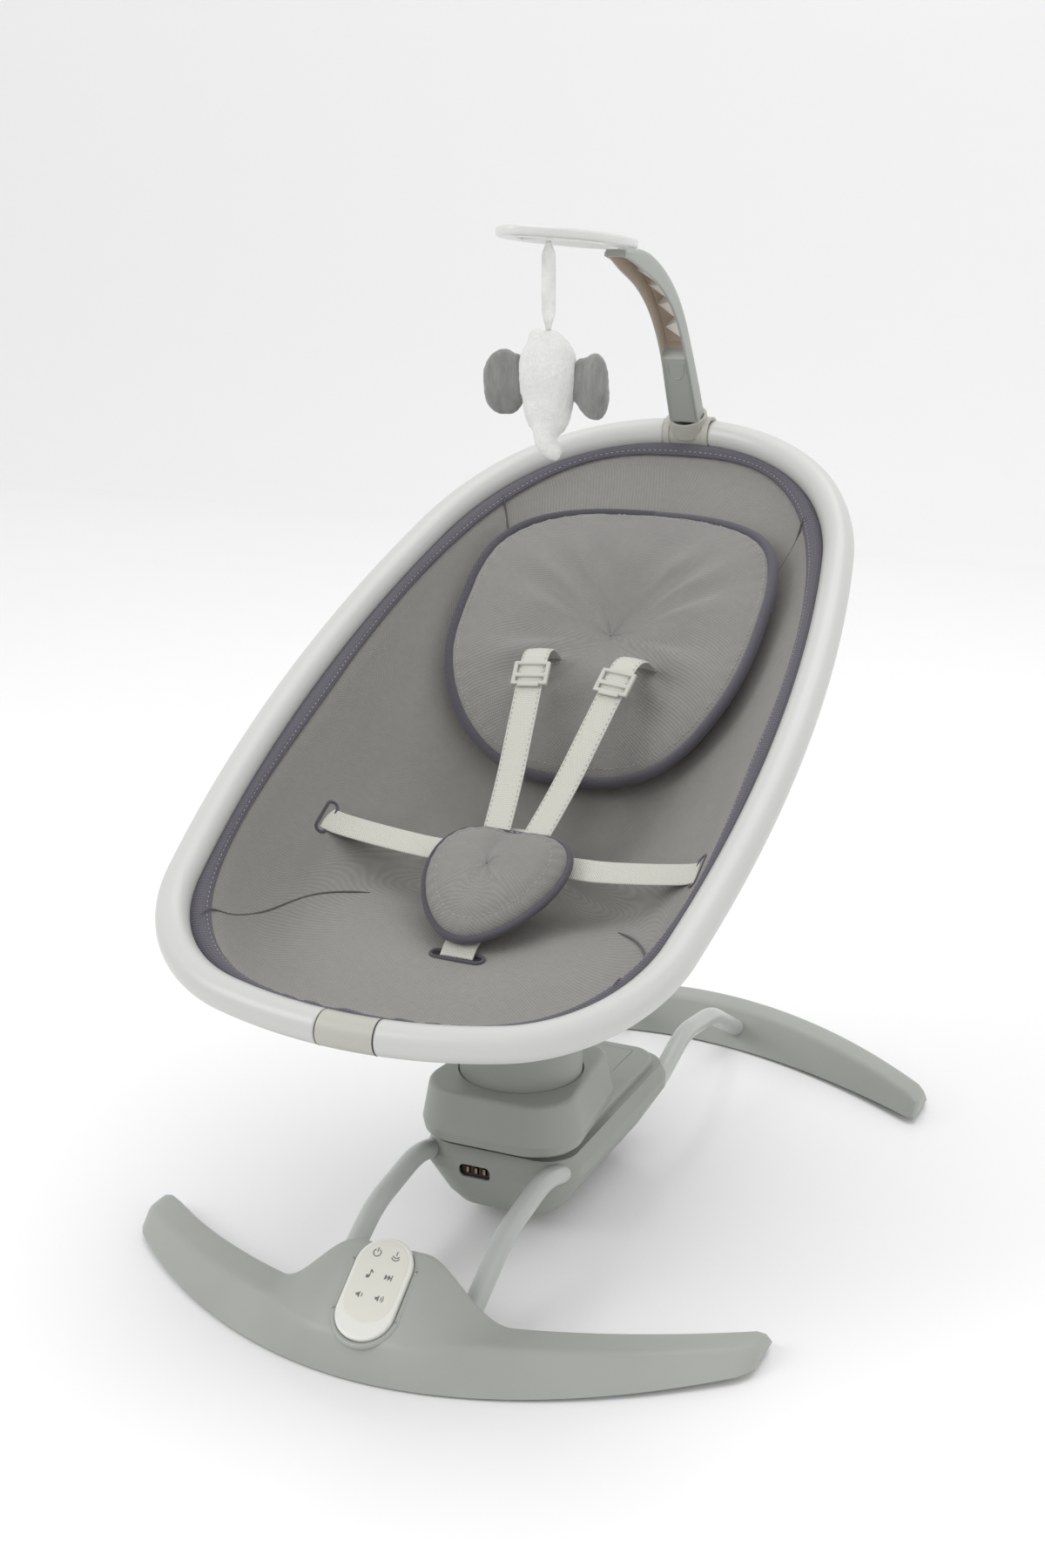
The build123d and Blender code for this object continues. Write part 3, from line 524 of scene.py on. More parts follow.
finishes = (
    (painted, "ring_satin", (0.56, 0.565, 0.545), 0.34),
    (moulded, "base_plastic", (0.315, 0.33, 0.30), 0.4),
    # lighter copy of base_plastic for the feet and dock lip: painted light
    (moulded, "base_light", (0.365, 0.38, 0.35), 0.38),
    (moulded, "trim_plastic", (0.46, 0.46, 0.41), 0.4),
    (painted, "leg_paint", (0.50, 0.52, 0.50), 0.3),
    (woven, "seat_cloth", (0.275, 0.266, 0.25)),
    (woven, "pad_cloth", (0.255, 0.25, 0.238), 0.0030, 0.0004, 0.3),
    (ribbed, "binding", (0.092, 0.086, 0.108), 0.0022, 0.0003, 0.75),
    (ribbed, "seam", (0.10, 0.098, 0.10), 0.0018, 0.0002, 0.8),
    (ribbed, "piping", (0.088, 0.084, 0.104), 0.0010, 0.00012, 0.8),
    (pile, "thread", (0.42, 0.41, 0.41), 2000.0, 0.00005, None, 0.2),
    (ribbed, "webbing", (0.60, 0.60, 0.54)),
    (moulded, "buckle_plastic", (0.55, 0.545, 0.50), 0.35),
    (moulded, "remote_white", (0.76, 0.76, 0.72), 0.3, 0.00002, 0.2),
    (moulded, "remote_overlay", (0.69, 0.69, 0.62), 0.4, 0.00003),
    (moulded, "tray_white", (0.66, 0.67, 0.645), 0.28, 0.00001, 0.3),
    (moulded, "arm_plastic", (0.37, 0.385, 0.36), 0.38),
    (moulded, "arm_inside", (0.56, 0.47, 0.39), 0.5),
    # lighter copy of the channel colour for the ribs: painted light
    (moulded, "arm_rib", (0.72, 0.67, 0.60), 0.4),
    (pile, "plush_white", (0.80, 0.80, 0.79), 420.0, 0.0009, None, 0.4, 0.82, 1.08),
    (pile, "plush_grey", (0.205, 0.21, 0.20), 260.0, 0.0006, (1, 1, 0.18), 0.5, 0.7, 1.4),
    (satin, "ribbon", (0.74, 0.74, 0.72)),
    (moulded, "rubber_pad", (0.46, 0.43, 0.37), 0.65, 0.00008),
    (moulded, "rubber_key", (0.12, 0.12, 0.12), 0.6, 0.00005),
    (moulded, "ink", (0.16, 0.16, 0.155), 0.45, 0.00002),
    (bare_metal, "steel", (0.56, 0.56, 0.55)),
    (bare_metal, "brass", (0.45, 0.28, 0.16), 0.35),
    (moulded, "gear_plastic", (0.72, 0.69, 0.60), 0.45),
    (moulded, "board", (0.03, 0.16, 0.07), 0.35),
    (moulded, "black_plastic", (0.025, 0.023, 0.022), 0.5),
)
look = {name: make(name, *values) for make, name, *values in finishes}


def dress_cad():
    """Every CAD node takes the material of its slot."""
    for row in frame["record"]["subparts"]:
        piece = nodes[row["node"]]
        piece.data.materials.clear()
        piece.data.materials.append(look[row["material_slot"]])


# ---- feet
def foot_corners(x, dock):
    t = min(abs(2 * x / foot_span), 1.0)
    y = -(foot_reach - foot_bow * t ** bow_power)
    slant = math.hypot(1.0, foot_bow * bow_power * t ** (bow_power - 1) / (foot_span / 2))
    low, top = mix(*foot_bottoms, t ** 2) * slant, mix(*foot_tops, t ** 2) * slant
    lift, height = mix(*foot_lifts, t ** 2), mix(*foot_heights, t ** 2)
    corners = [(y + low, lift), (y + top, height), (y - top, height), (y - low, lift)]
    if dock:
        rise = 1 - smooth((abs(x) - dock_half_width) / (dock_fade - dock_half_width))
        for index, target in ((1, dock_back), (2, dock_front)):
            corners[index] = tuple(mix(c, g, rise) for c, g in zip(corners[index], target))
    return corners


def rolled(corners, radii, steps=5):
    """The closed outline of four corners with each one rolled over."""
    points = []
    for i, (corner, radius) in enumerate(zip(corners, radii)):
        here = Vector(corner)
        before, after = Vector(corners[i - 1]), Vector(corners[(i + 1) % 4])
        a = here + (before - here).normalized() * radius
        b = here + (after - here).normalized() * radius
        for k in range(steps):
            t = k / (steps - 1)
            points.append(a * (1 - t) ** 2 + here * 2 * t * (1 - t) + b * t * t)
    return points


def foot_rows(front):
    """Sections across the foot from end to end, its ends cut back as short noses."""
    side = 1 if front else -1
    end = foot_span / 2
    nose, count = 9.0, 110
    stations = [-end, -end + 2.5] + [mix(-end + nose, end - nose, k / count) for k in range(count + 1)]
    rows = []
    for x in stations + [end - 2.5, end]:
        corners = foot_corners(x, front)
        outline = rolled(corners, (1.2, 6.0, 6.0, 1.2))
        back = end - abs(x)
        squeeze = 1.0 if back >= nose else mix(0.72, 1.0, math.sqrt(back / nose))
        centre = Vector(((corners[0][0] + corners[3][0]) / 2, foot_lifts[1]))
        row = [centre + (p - centre) * squeeze for p in outline]
        rows.append([Vector((x, side * p.x, p.y)) * MM for p in row])
    return rows


def dock_matrix(lift):
    """The remote's plane, lifted off its middle by some millimetres."""
    out = Vector((0, -math.cos(remote_lean), math.sin(remote_lean)))
    up = Vector((0, math.sin(remote_lean), math.cos(remote_lean)))
    turn = Matrix((Vector((1, 0, 0)), up, out)).transposed().to_4x4()
    return Matrix.Translation((remote_centre + out * lift) * MM) @ turn


def pill_points(length, width, count=18):
    """A rounded slot's outline in its own plane, in metres."""
    half, run = width / 2, (length - width) / 2
    points = []
    for k in range(2 * count + 2):
        turned = k // (count + 1)
        a = math.pi * (k - turned) / count
        end = -run if turned else run
        points.append(Vector((half * math.cos(a), end + half * math.sin(a), 0)) * MM)
    return points


def cut(piece, tool_mesh):
    """Takes a closed solid out of a piece."""
    tool = bpy.data.objects.new("tool", tool_mesh)
    bpy.context.scene.collection.objects.link(tool)
    step = piece.modifiers.new("cut", "BOOLEAN")
    step.operation = "DIFFERENCE"
    step.solver = "EXACT"
    step.object = tool
    apply_modifiers(piece)
    bpy.data.objects.remove(tool)


def make_feet():
    for node, front in (("front_foot", True), ("rear_foot", False)):
        mesh = grid_mesh(node + "_shell", foot_rows(front), cap=(True, True))
        face_outwards(mesh)
        # the feet take the lighter copy of the base plastic: painted light
        piece = add_piece(mesh, "base", "base_plastic", "base_light")
        if front:
            out = dock_matrix(-4.5 - remote_sink)
            loop = pill_points(remote_length + 1.6, remote_width + 1.6)
            rows = [[out @ (p + Vector((0, 0, z * MM))) for p in loop] for z in (0.0, 60.0)]
            cut(piece, grid_mesh("tool", rows, cap=(True, True)))
        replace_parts(piece, node)
        shade_by_angle(piece, 32)
    make_dock_rim()


def make_dock_rim():
    """The raised U-shaped lip round the lower end and sides of the remote."""
    base = dock_matrix(-4.2)
    line = [p for p in pill_points(remote_length + 5.5, remote_width + 5.5, 30) if p.y < 0.036]
    line.sort(key=lambda p: math.atan2(p.x, -p.y))
    line = spline_line([base @ p for p in line], 90)
    mesh = tube_mesh("dock_lip", line, lambda t: 0.0026 * min(1.0, 9 * min(t, 1 - t) + 0.25))
    # the lip takes the lighter copy of the base plastic: painted light
    add_piece(mesh, "base", "base_plastic", "base_light")


# ---- ring
foot_bend = 486.0


def ring_arcs():
    """Turns in degrees and the radii between them; two radii follow from the ring's length and closing."""
    turns = [0.0, 14.0, 82.0, 102.0, 122.0, 180.0]
    radii = [foot_bend, 135.0, 0.0, 274.0, 0.0]
    angles = [math.radians(t) for t in turns]
    across = [math.sin(b) - math.sin(a) for a, b in zip(angles, angles[1:])]
    along = [math.cos(a) - math.cos(b) for a, b in zip(angles, angles[1:])]
    need_x = -sum(r * x for r, x in zip(radii, across))
    need_y = 2 * ring_half_length - sum(r * y for r, y in zip(radii, along))
    det = across[2] * along[4] - across[4] * along[2]
    radii[2] = (need_x * along[4] - across[4] * need_y) / det
    radii[4] = (across[2] * need_y - need_x * along[2]) / det
    return turns, radii


def ring_line():
    """The ring's centre line as (x, s) points, from the foot end round +X and back."""
    turns, radii = ring_arcs()
    here = Vector((0.0, -ring_half_length))
    half = [here.copy()]
    for first, last, radius in zip(turns, turns[1:], radii):
        steps = max(4, int((last - first) * radius / 260))
        for k in range(1, steps + 1):
            a, b = math.radians(first), math.radians(mix(first, last, k / steps))
            half.append(here + Vector((math.sin(b) - math.sin(a), math.cos(a) - math.cos(b))) * radius)
        here = half[-1]
    return half + [Vector((-p.x, p.y)) for p in reversed(half[1:-1])]


ring_points = ring_line()


def ring_end(end, half):
    """The ring's centre line beside its foot (-1) or head (1) end, and its slope there."""
    bend = foot_bend if end < 0 else abs(ring_arcs()[1][4])
    along = ring_half_length - bend + math.sqrt(bend ** 2 - half ** 2)
    return Vector((half, end * along)), -end * half / bend


def make_ring():
    """The two halves of the ring as smooth drawn tubes, open between sleeve and collar."""
    line = [p for p in ring_points if p.x > (25.0 if p.y < 0 else 24.4)]
    line = [ring_end(-1, 24.9)[0]] + line + [ring_end(1, 24.3)[0]]
    for side, word in both_sides:
        centre = [seat(side * p.x, p.y, 0) for p in line]
        piece = add_piece(tube_mesh("ring_" + word, centre, ring_radius * MM, sides=40), "seat", "ring_satin")
        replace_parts(piece, "ring_tube_" + word)


def near_ring(x, s):
    """The ring's nearest centre point to a place inside it, and the way in from there."""
    here = Vector((x, s))
    nearest = min(ring_points, key=lambda p: (p - here).length_squared)
    return nearest, (here - nearest).normalized()


# ---- bowl
def bowl_level(depth):
    """Middle, half length and half width at a depth, on a smooth curve through the levels."""
    table = bowl_levels
    depth = min(max(depth, 0.0), table[-1][0])
    i = max(k for k in range(len(table) - 1) if k == 0 or depth > table[k][0])
    a, b = table[i], table[i + 1]
    before, after = table[max(i - 1, 0)], table[min(i + 2, len(table) - 1)]
    span = b[0] - a[0]
    t = (depth - a[0]) / span
    values = []
    for c in (1, 2, 3):
        m0 = (b[c] - before[c]) / (b[0] - before[0]) * span
        m1 = (after[c] - a[c]) / (after[0] - a[0]) * span
        curve = (2 * t ** 3 - 3 * t * t + 1) * a[c] + (3 * t * t - 2 * t ** 3) * b[c]
        values.append(curve + (t ** 3 - 2 * t * t + t) * m0 + (t ** 3 - t * t) * m1)
    foot, head, wide = values
    return (foot + head) / 2, (head - foot) / 2, wide


def bowl_xs(depth, angle, inset=3.0):
    """The bowl's outline at a depth, on a squarish oval narrower at the head."""
    middle, length, width = bowl_level(depth)
    c, s = math.cos(angle), math.sin(angle)
    power = 2 / ring_power
    along = bent(c, power) * (length - inset)
    across = bent(s, power) * (width - inset) * (1 + ring_taper * c)
    return across, middle + along


def bowl_depth(x, s, inset=3.0):
    """Depth of the cloth under the ring at a place."""
    def inside(depth):
        middle, length, width = bowl_level(depth)
        t = abs(s - middle) / (length - inset)
        if t >= 1:
            return False
        c = math.copysign(t ** (ring_power / 2), s - middle)
        half = (width - inset) * (1 + ring_taper * c) * (1 - t ** ring_power) ** (1 / ring_power)
        return abs(x) <= half

    low, high = 0.0, bowl_levels[-1][0]
    if not inside(low):
        return 0.0
    for _ in range(18):
        centre = (low + high) / 2
        low, high = (centre, high) if inside(centre) else (low, centre)
    return low


def on_cloth(x, s, rise, inset=3.0):
    """A place some millimetres above the seat cloth."""
    return seat(x, s, rise - bowl_depth(x, s, inset))


edge_depth = 17.0


def edge_point(angle, t, lift=0.0):
    """The cloth's rolled edge, from the ring's inner side at t = 0 to inside the bowl at t = 1."""
    x, s = bowl_xs(0.0, angle, 0.0)
    p, d = near_ring(x, s)
    start = Vector((p.x + d.x * 12.4, p.y + d.y * 12.4, -6.5))
    x0, s0 = bowl_xs(0.0, angle, 2.0)
    x1, s1 = bowl_xs(edge_depth, angle, 3.0)
    turn = Vector((x0, s0, 1.0))
    end = Vector((x1, s1, -edge_depth))
    place = start * (1 - t) ** 2 + turn * 2 * t * (1 - t) + end * t * t
    out = Vector((d.x, d.y, 0)) * t + Vector((0, 0, 1)) * (1 - 0.5 * t)
    place += out.normalized() * lift
    return place, d


def seat_rows(columns=200):
    """Rows of the seat cloth from under the ring down to the middle of its floor."""
    angles = [a - 0.12 * math.sin(4 * a) for a in round_angles(columns)]
    ring_sides = [near_ring(*bowl_xs(0.0, a, 0.0)) for a in angles]
    rows = [[seat(p.x + d.x * 8.5, p.y + d.y * 8.5, -12.5) for p, d in ring_sides]]
    for t in (0.0, 0.15, 0.3, 0.45, 0.6, 0.75, 0.9):
        rows.append([seat(*edge_point(a, t, -0.9)[0]) for a in angles])
    deepest = bowl_levels[-1][0]
    steps = 56
    for k in range(steps + 1):
        depth = mix(edge_depth, deepest, k / steps)
        rows.append([seat(*bowl_xs(depth, a), -depth) for a in angles])
    middle = bowl_level(deepest)[0]
    for k in range(1, 8):
        share = 1 - k / 8
        level = -deepest - 2.0 * (1 - share ** 2)
        places = [bowl_xs(deepest, a) for a in angles]
        rows.append([seat(x * share, middle + (s - middle) * share, level) for x, s in places])
    return rows


def make_slot(name, length, width, place):
    """A bound slot in the seat cloth where a strap comes through, its opening filled with a black sheet as
    painted shade.
    """
    outline = pill_points(length, width, 10)
    loop, inner = (
        [on_cloth(*place(p.x / MM * share, p.y / MM * share), 1.4) for p in outline] for share in (1.0, 0.72)
    )
    add_piece(tube_mesh(name + "_edge", loop, 0.0016, True, 8), "seat", "seat_cloth", "piping")
    # black sheet across the slot's opening: painted shade
    add_piece(grid_mesh(name, [loop, inner], cap=(False, True)), "seat", "seat_cloth", "black_plastic")


def make_slots():
    make_slot("crotch_slot", 48, 13, lambda a, b: (b, -238 + a * 0.8))
    for side, word in both_sides:
        make_slot("hip_slot_" + word, 34, 10, lambda a, b: (side * (174 + a * 0.7), -122 + b))


seam_routes = [
    ((180, -310), (164, -224), (116, -172)),
    ((153, 277), (139, 241), (124, 203)),
]


def seam_line(start, middle, end, side, count=60):
    """A seam over the cloth from near the ring down a corner of the bowl."""
    line = []
    for k in range(count):
        t = k / (count - 1)
        x, s = (
            a * (1 - t) * (1 - 2 * t) + m * 4 * t * (1 - t) + b * t * (2 * t - 1)
            for a, m, b in zip(start, middle, end)
        )
        line.append(on_cloth(x * side, s, 0.9))
    for _ in range(12):
        line[1:-1] = [(a + b * 2 + c) / 4 for a, b, c in zip(line, line[1:], line[2:])]
    return line


def make_seat():
    mesh = grid_mesh("seat_sling", seat_rows())
    relax(mesh, 5)
    for vert in mesh.vertices:
        slack = smooth((-(vert.co / MM - seat_origin).dot(seat_n) - 6) / 26)
        wave = noise.noise(vert.co * 16) * 0.0020 + noise.noise(vert.co * 42 + Vector((3, 1, 2))) * 0.0008
        vert.co += seat_n * wave * slack
    sling = add_piece(mesh, "seat", "seat_cloth")
    thicken(sling, 0.0016, 0)
    shade_by_angle(sling, 60)
    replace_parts(sling, "seat_fabric")
    make_binding()
    seams = []
    for route in seam_routes:
        for side in (-1, 1):
            def radius(t):
                return 0.0009 * min(1.0, 8 * min(t, 1 - t) + 0.35)

            seams.append(tube_mesh("seam", seam_line(*route, side), radius, sides=8))
    add_piece(join_meshes("seat_seams", seams), "seat", "seat_cloth", "seam")


def make_binding():
    """The dark elastic edge between the ring and the mesh cloth, gathered near the foot sleeve."""
    angles = round_angles(620)
    inner_share = 0.66
    rows = []
    for t in (0.0, 0.08, 0.2, 0.34, 0.48, 0.6, inner_share):
        row = []
        for a in angles:
            place, d = edge_point(a, t, 0.4 + 1.6 * math.sin(math.pi * t / inner_share))
            foot_share = smooth((-place.y - 285) / 80) * smooth((95 - abs(place.x)) / 50)
            wave = math.sin(a * 90) * 0.35 + math.sin(a * 211 + 1.3) * 0.15
            ripple = wave * (0.12 + 2.2 * foot_share) * smooth(t / 0.4)
            row.append(seat(place.x + d.x * ripple * 0.6, place.y + d.y * ripple * 0.6, place.z + ripple))
        rows.append(row)
    thicken(add_piece(grid_mesh("seat_binding", rows), "seat", "seat_cloth", "binding"), 0.0012)
    line = [seat(*edge_point(a, 0.52, 2.2)[0]) for a in angles]
    add_piece(stitch_mesh("binding_stitches", line + [line[0]]), "seat", "seat_cloth", "thread")


# ---- head pillow
pillow_middle = 144.0
pillow_half = (149.0, 140.0)
pillow_power = 0.74
piping_rise = 19.0


def pillow_place(angle, share):
    c, s = math.cos(angle), math.sin(angle)
    along = bent(c, pillow_power) * pillow_half[1]
    across = bent(s, pillow_power) * (pillow_half[0] - 4 + 6 * c)
    return across * share, pillow_middle + along * share


def pillow_rise(angle, share):
    """Height of the pillow's top over the seat cloth, hollowed where the head rests."""
    fat = piping_rise + 19 * (1 - share ** 3.2) ** 0.5
    hollow = 16 * math.exp(-(share / 0.36) ** 2)
    pleat = math.cos(angle * 13 + 0.4) * 2.6 * math.exp(-((share - 0.56) / 0.17) ** 2)
    fine = math.cos(angle * 27 + 1.0) * 0.5 * math.exp(-((share - 0.44) / 0.12) ** 2)
    pucker = math.cos(angle * 48) * 0.8 * math.exp(-((share - 0.94) / 0.05) ** 2)
    return fat - hollow + pleat + fine + pucker


def make_pillow():
    angles = round_angles(220)

    def level(share, rise, inset=8.0):
        places = [(a, *pillow_place(a, share)) for a in angles]
        return [on_cloth(x, s, rise(a, share) if callable(rise) else rise, inset) for a, x, s in places]

    rows = [level(*row, 7.0) for row in ((0.3, 3.0), (0.7, 3.0), (0.9, 5.0), (0.97, 10.0), (0.995, 15.0))]
    rows += [level(1 - (k / 46) ** 1.25, pillow_rise) for k in range(46)] + [level(0.004, pillow_rise)]
    mesh = grid_mesh("head_cushion", rows, cap=(True, False))
    relax(mesh, 3)
    for vert in mesh.vertices:
        vert.co += seat_n * noise.noise(vert.co * 22) * 0.0018
    cushion = add_piece(mesh, "seat", "pad_cloth")
    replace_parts(cushion, "head_pillow")
    shade_by_angle(cushion, 70)
    edge = level(1.012, piping_rise + 0.5)
    add_piece(tube_mesh("cushion_piping", edge, 0.0048, True, 12), "seat", "pad_cloth", "piping")
    inner = level(0.955, lambda a, share: pillow_rise(a, share) + 0.5)
    add_piece(stitch_mesh("cushion_stitches", inner), "seat", "pad_cloth", "thread")


# ---- harness
strap_lean = math.radians(8)
strap_width = 0.025
shoulder_route = (
    (-112, -75), (-76, -69), (-40, -61), (0, -49), (40, -37), (74, -27.5), (92, -33), (103, -48), (110, -64),
)
hip_route = (
    (26, -87), (55, -85.5), (84, -84.5), (122, -79.5), (150, -74.5), (165, -71.0), (175.2, -66.4),
)
crotch_route = ((-240, -84), (-226, -81.5), (-205, -85), (-180, -89), (-137, -90))


def leaning(route, side):
    """Points (s, n) along a shoulder strap on one side, leaning in towards the pad."""
    a = -side * strap_lean
    return [seat(-s * math.sin(a) + side * 33, s * math.cos(a), n) for s, n in route]


def make_straps():
    for side, word in both_sides:
        line = spline_line(leaning(shoulder_route, side), 60)
        mesh = strap_mesh("shoulder_webbing_" + word, line, strap_width, 0.0015, 0.0010)
        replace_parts(add_piece(mesh, "seat", "webbing"), "shoulder_strap_" + word)
        for offset, place in ((-0.0105, "in"), (0.0105, "out")):
            frames = frames_along(line, False, seat_n)
            edge = [p + across * offset + up * 0.0010 for p, (_, across, up) in zip(line, frames)]
            name = "shoulder_stitches_{}_{}".format(word, place)
            add_piece(stitch_mesh(name, edge, [up for _, _, up in frames]), "seat", "webbing", "thread")
        make_adjuster(side, word)
    for side, word in both_sides:
        line = spline_line([seat(side * x, -122, n) for x, n in hip_route], 40)
        mesh = strap_mesh("hip_webbing_" + word, line, strap_width, 0.0016, 0.0006)
        piece = add_piece(mesh, "seat", "webbing")
        if side == 1:
            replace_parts(piece, "waist_straps")
    line = spline_line([seat(0, s, n) for s, n in crotch_route], 40)
    piece = add_piece(strap_mesh("crotch_webbing", line, 0.030, 0.0018, 0.0008), "seat", "webbing")
    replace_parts(piece, "crotch_strap")


slide_bars = ((0.0036, -0.0105), (0.0045, -0.002), (0.0036, 0.0105))


def make_adjuster(side, word):
    """A ladder-lock slide: a frame with three bars, the webbing passing through it."""
    middle, ahead = leaning([(56, -31), (60, -29.8)], side)
    tangent = (ahead - middle).normalized()
    across = tangent.cross(seat_n).normalized()
    up = across.cross(tangent).normalized()
    turn = Matrix((across, tangent, up)).transposed().to_4x4()
    shapes = [((0.033, d, 0.0040), 0, y, 0.0008, 0.0014) for d, y in slide_bars]
    shapes += [((0.0040, 0.0246, 0.0044), x, 0, 0.0004, 0.0015) for x in (-0.0150, 0.0150)]
    shapes.append(((0.020, 0.0050, 0.0030), 0, -0.0125, 0.0024, 0.0012))
    bars = []
    for size, x, y, z, bevel in shapes:
        bars.append(rounded_box(size, middle + across * x + tangent * y + up * z, bevel, turn))
    piece = add_piece(join_meshes("webbing_slide_" + word, bars), "seat", "buckle_plastic")
    if side == 1:
        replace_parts(piece, "strap_adjusters")


pad_middle = -158.0


def pad_place(angle, share):
    """A heart with its notch towards the head and its point towards the feet."""
    c, s = math.cos(angle), math.sin(angle)
    x = (60 + 14 * c) * s * share
    notch = 17 * max(c, 0) ** 5
    along = (71 * c - notch * share) * share
    return x, pad_middle + along


pad_level = -70.0
pad_puff = 15.5
pad_droop = 4.0
pad_stitches = 0.8


def pad_rise(angle, share):
    """Height of the pad's top: crowned, creased from its notch, stitched and gathered at its edge."""
    puff = pad_puff * (1 - share ** 4) ** 0.5
    crease = 4.0 * math.exp(-(share * math.sin(angle) * 9) ** 2)
    crease *= smooth(math.cos(angle) * 1.5) * smooth(share * 2)
    groove = 1.2 * math.exp(-((share - pad_stitches) / 0.05) ** 2)
    gather = math.cos(angle * 30) * 0.9 * math.exp(-((share - 0.9) / 0.1) ** 2)
    return pad_level + puff - crease - groove + gather


def make_crotch_pad():
    angles = round_angles(144)

    def level(share, rise):
        rises = [(rise(a, share) if callable(rise) else rise) - pad_droop * share ** 2 for a in angles]
        return [seat(*pad_place(a, share), n) for a, n in zip(angles, rises)]

    rows = [level(share, pad_level - 7.0 + 5.0 * share ** 4) for share in (0.2, 0.7, 0.95)]
    rows += [level(1 - (k / 26) ** 1.2, pad_rise) for k in range(26)] + [level(0.01, pad_rise)]
    mesh = grid_mesh("crotch_cushion", rows, cap=(True, False))
    relax(mesh, 2)
    cushion = add_piece(mesh, "seat", "pad_cloth")
    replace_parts(cushion, "crotch_pad")
    shade_by_angle(cushion, 70)
    edge = level(1.0, pad_level + 0.5)
    add_piece(tube_mesh("crotch_piping", edge, 0.0036, True, 12), "seat", "pad_cloth", "piping")
    ring = level(pad_stitches, pad_level - 1.0 + pad_puff * (1 - pad_stitches ** 4) ** 0.5)
    add_piece(stitch_mesh("crotch_stitches", ring), "seat", "pad_cloth", "thread")


# ---- toy arm
arm_route = (
    (397, 20), (397, 60), (396.5, 92), (393, 124), (384, 156), (367, 188), (344, 217), (320, 239.5),
    (299, 255.5),
)
arm_half = (13.5, 10.0)
arm_wall = 2.3
channel_from = 0.25


def arm_frames(count=90):
    line = spline_line([Vector((0, s, n)) for s, n in arm_route], count)
    result = []
    for i, p in enumerate(line):
        tangent = line[min(i + 1, count - 1)] - line[max(i - 1, 0)]
        front = tangent.cross(Vector((1, 0, 0))).normalized()
        result.append((p, -front if front.y > 0 else front))
    return result


def arm_point(where, x, f):
    """A place across the arm by x and in front of its middle line by f."""
    p, front = where
    return seat(x, *(p + front * f).yz)


def arm_section(where, t):
    """The arm's outline: its front side stands open as a channel above channel_from."""
    open_share = smooth((t - channel_from) / 0.035) * smooth((0.985 - t) / 0.02)
    grow = 1.0 + 0.10 * smooth((0.3 - t) / 0.3)
    w = arm_half[0] * grow * (1 - 0.26 * smooth((t - 0.72) / 0.28))
    d = arm_half[1] * grow * (1 - 0.6 * smooth((t - 0.76) / 0.24))
    floor = mix(d - 0.2, arm_wall - d, open_share)
    inner = w - arm_wall
    section = [
        (inner, d), (inner, floor + 1.0), (inner - 1.0, floor), (0, floor), (1.0 - inner, floor),
        (-inner, floor + 1.0), (-inner, d), (-w + 0.7, d), (-w, d - 0.7), (-w, 0), (-w, 5.0 - d),
        (-w + 1.6, 1.6 - d), (-w + 5.0, -d), (0, -d - 0.6), (w - 5.0, -d), (w - 1.6, 1.6 - d),
        (w, 5.0 - d), (w, 0), (w, d - 0.7), (w - 0.7, d),
    ]
    return [arm_point(where, x, f) for x, f in section]


channel_columns = 6


def make_toy_arm():
    """A moulded arm, solid below and an open ribbed channel on its inner side above."""
    places = arm_frames()
    last = len(places) - 1
    rows = [arm_section(where, i / last) for i, where in enumerate(places)]
    mesh = grid_mesh("play_arm", rows, cap=(True, True))
    piece = add_piece(mesh, "toy_arm", "arm_plastic")
    mesh.materials.append(look["arm_inside"])
    for index, face in enumerate(mesh.polygons):
        row, column = divmod(index, len(rows[0]))
        if column < channel_columns and channel_from + 0.01 < row / last < 0.98:
            face.material_index = 1
    face_outwards(mesh)
    shade_by_angle(piece, 35)
    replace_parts(piece, "toy_bar")
    ribs = []
    inner = arm_half[0] - arm_wall + 0.4
    back = arm_wall - arm_half[1] - 0.5
    for t in (0.39, 0.50, 0.61, 0.72):
        points = []
        for wall_front, tip_front in ((back, back), (9.0, 1.0)):
            corners = ((inner, -0.04, wall_front), (inner, 0.045, wall_front), (-6.0, -0.012, tip_front))
            points += [arm_point(places[int((t + shift) * last)], x, f) for x, shift, f in corners]
        faces = [(0, 2, 1), (3, 4, 5), (0, 1, 4, 3), (1, 2, 5, 4), (2, 0, 3, 5)]
        ribs.append(build_mesh("rib", points, faces, flat=True))
    # the ribs take a lighter copy of the channel colour: painted light
    add_piece(join_meshes("play_arm_ribs", ribs), "toy_arm", "arm_plastic", "arm_rib")
    tongue = []
    for k in range(0, 41, 4):
        a = math.pi * k / 40
        where = places[int((channel_from - 0.015 - 0.075 * math.sin(a)) * last)]
        tongue.append(arm_point(where, 8.5 * math.cos(a), arm_half[1] * 1.005))
    mesh = tube_mesh("play_arm_tongue", spline_line(tongue, 50), 0.0007, sides=8)
    add_piece(mesh, "toy_arm", "arm_plastic")


# ---- toy
def blob(centre, size, turn=Matrix.Identity(4)):
    made = bmesh.new()
    bmesh.ops.create_icosphere(made, subdivisions=4, radius=1.0)
    bmesh.ops.scale(made, vec=Vector(size) * MM, verts=made.verts)
    bmesh.ops.transform(made, matrix=Matrix.Translation(Vector(centre) * MM) @ turn, verts=made.verts)
    return mesh_from("blob", made)


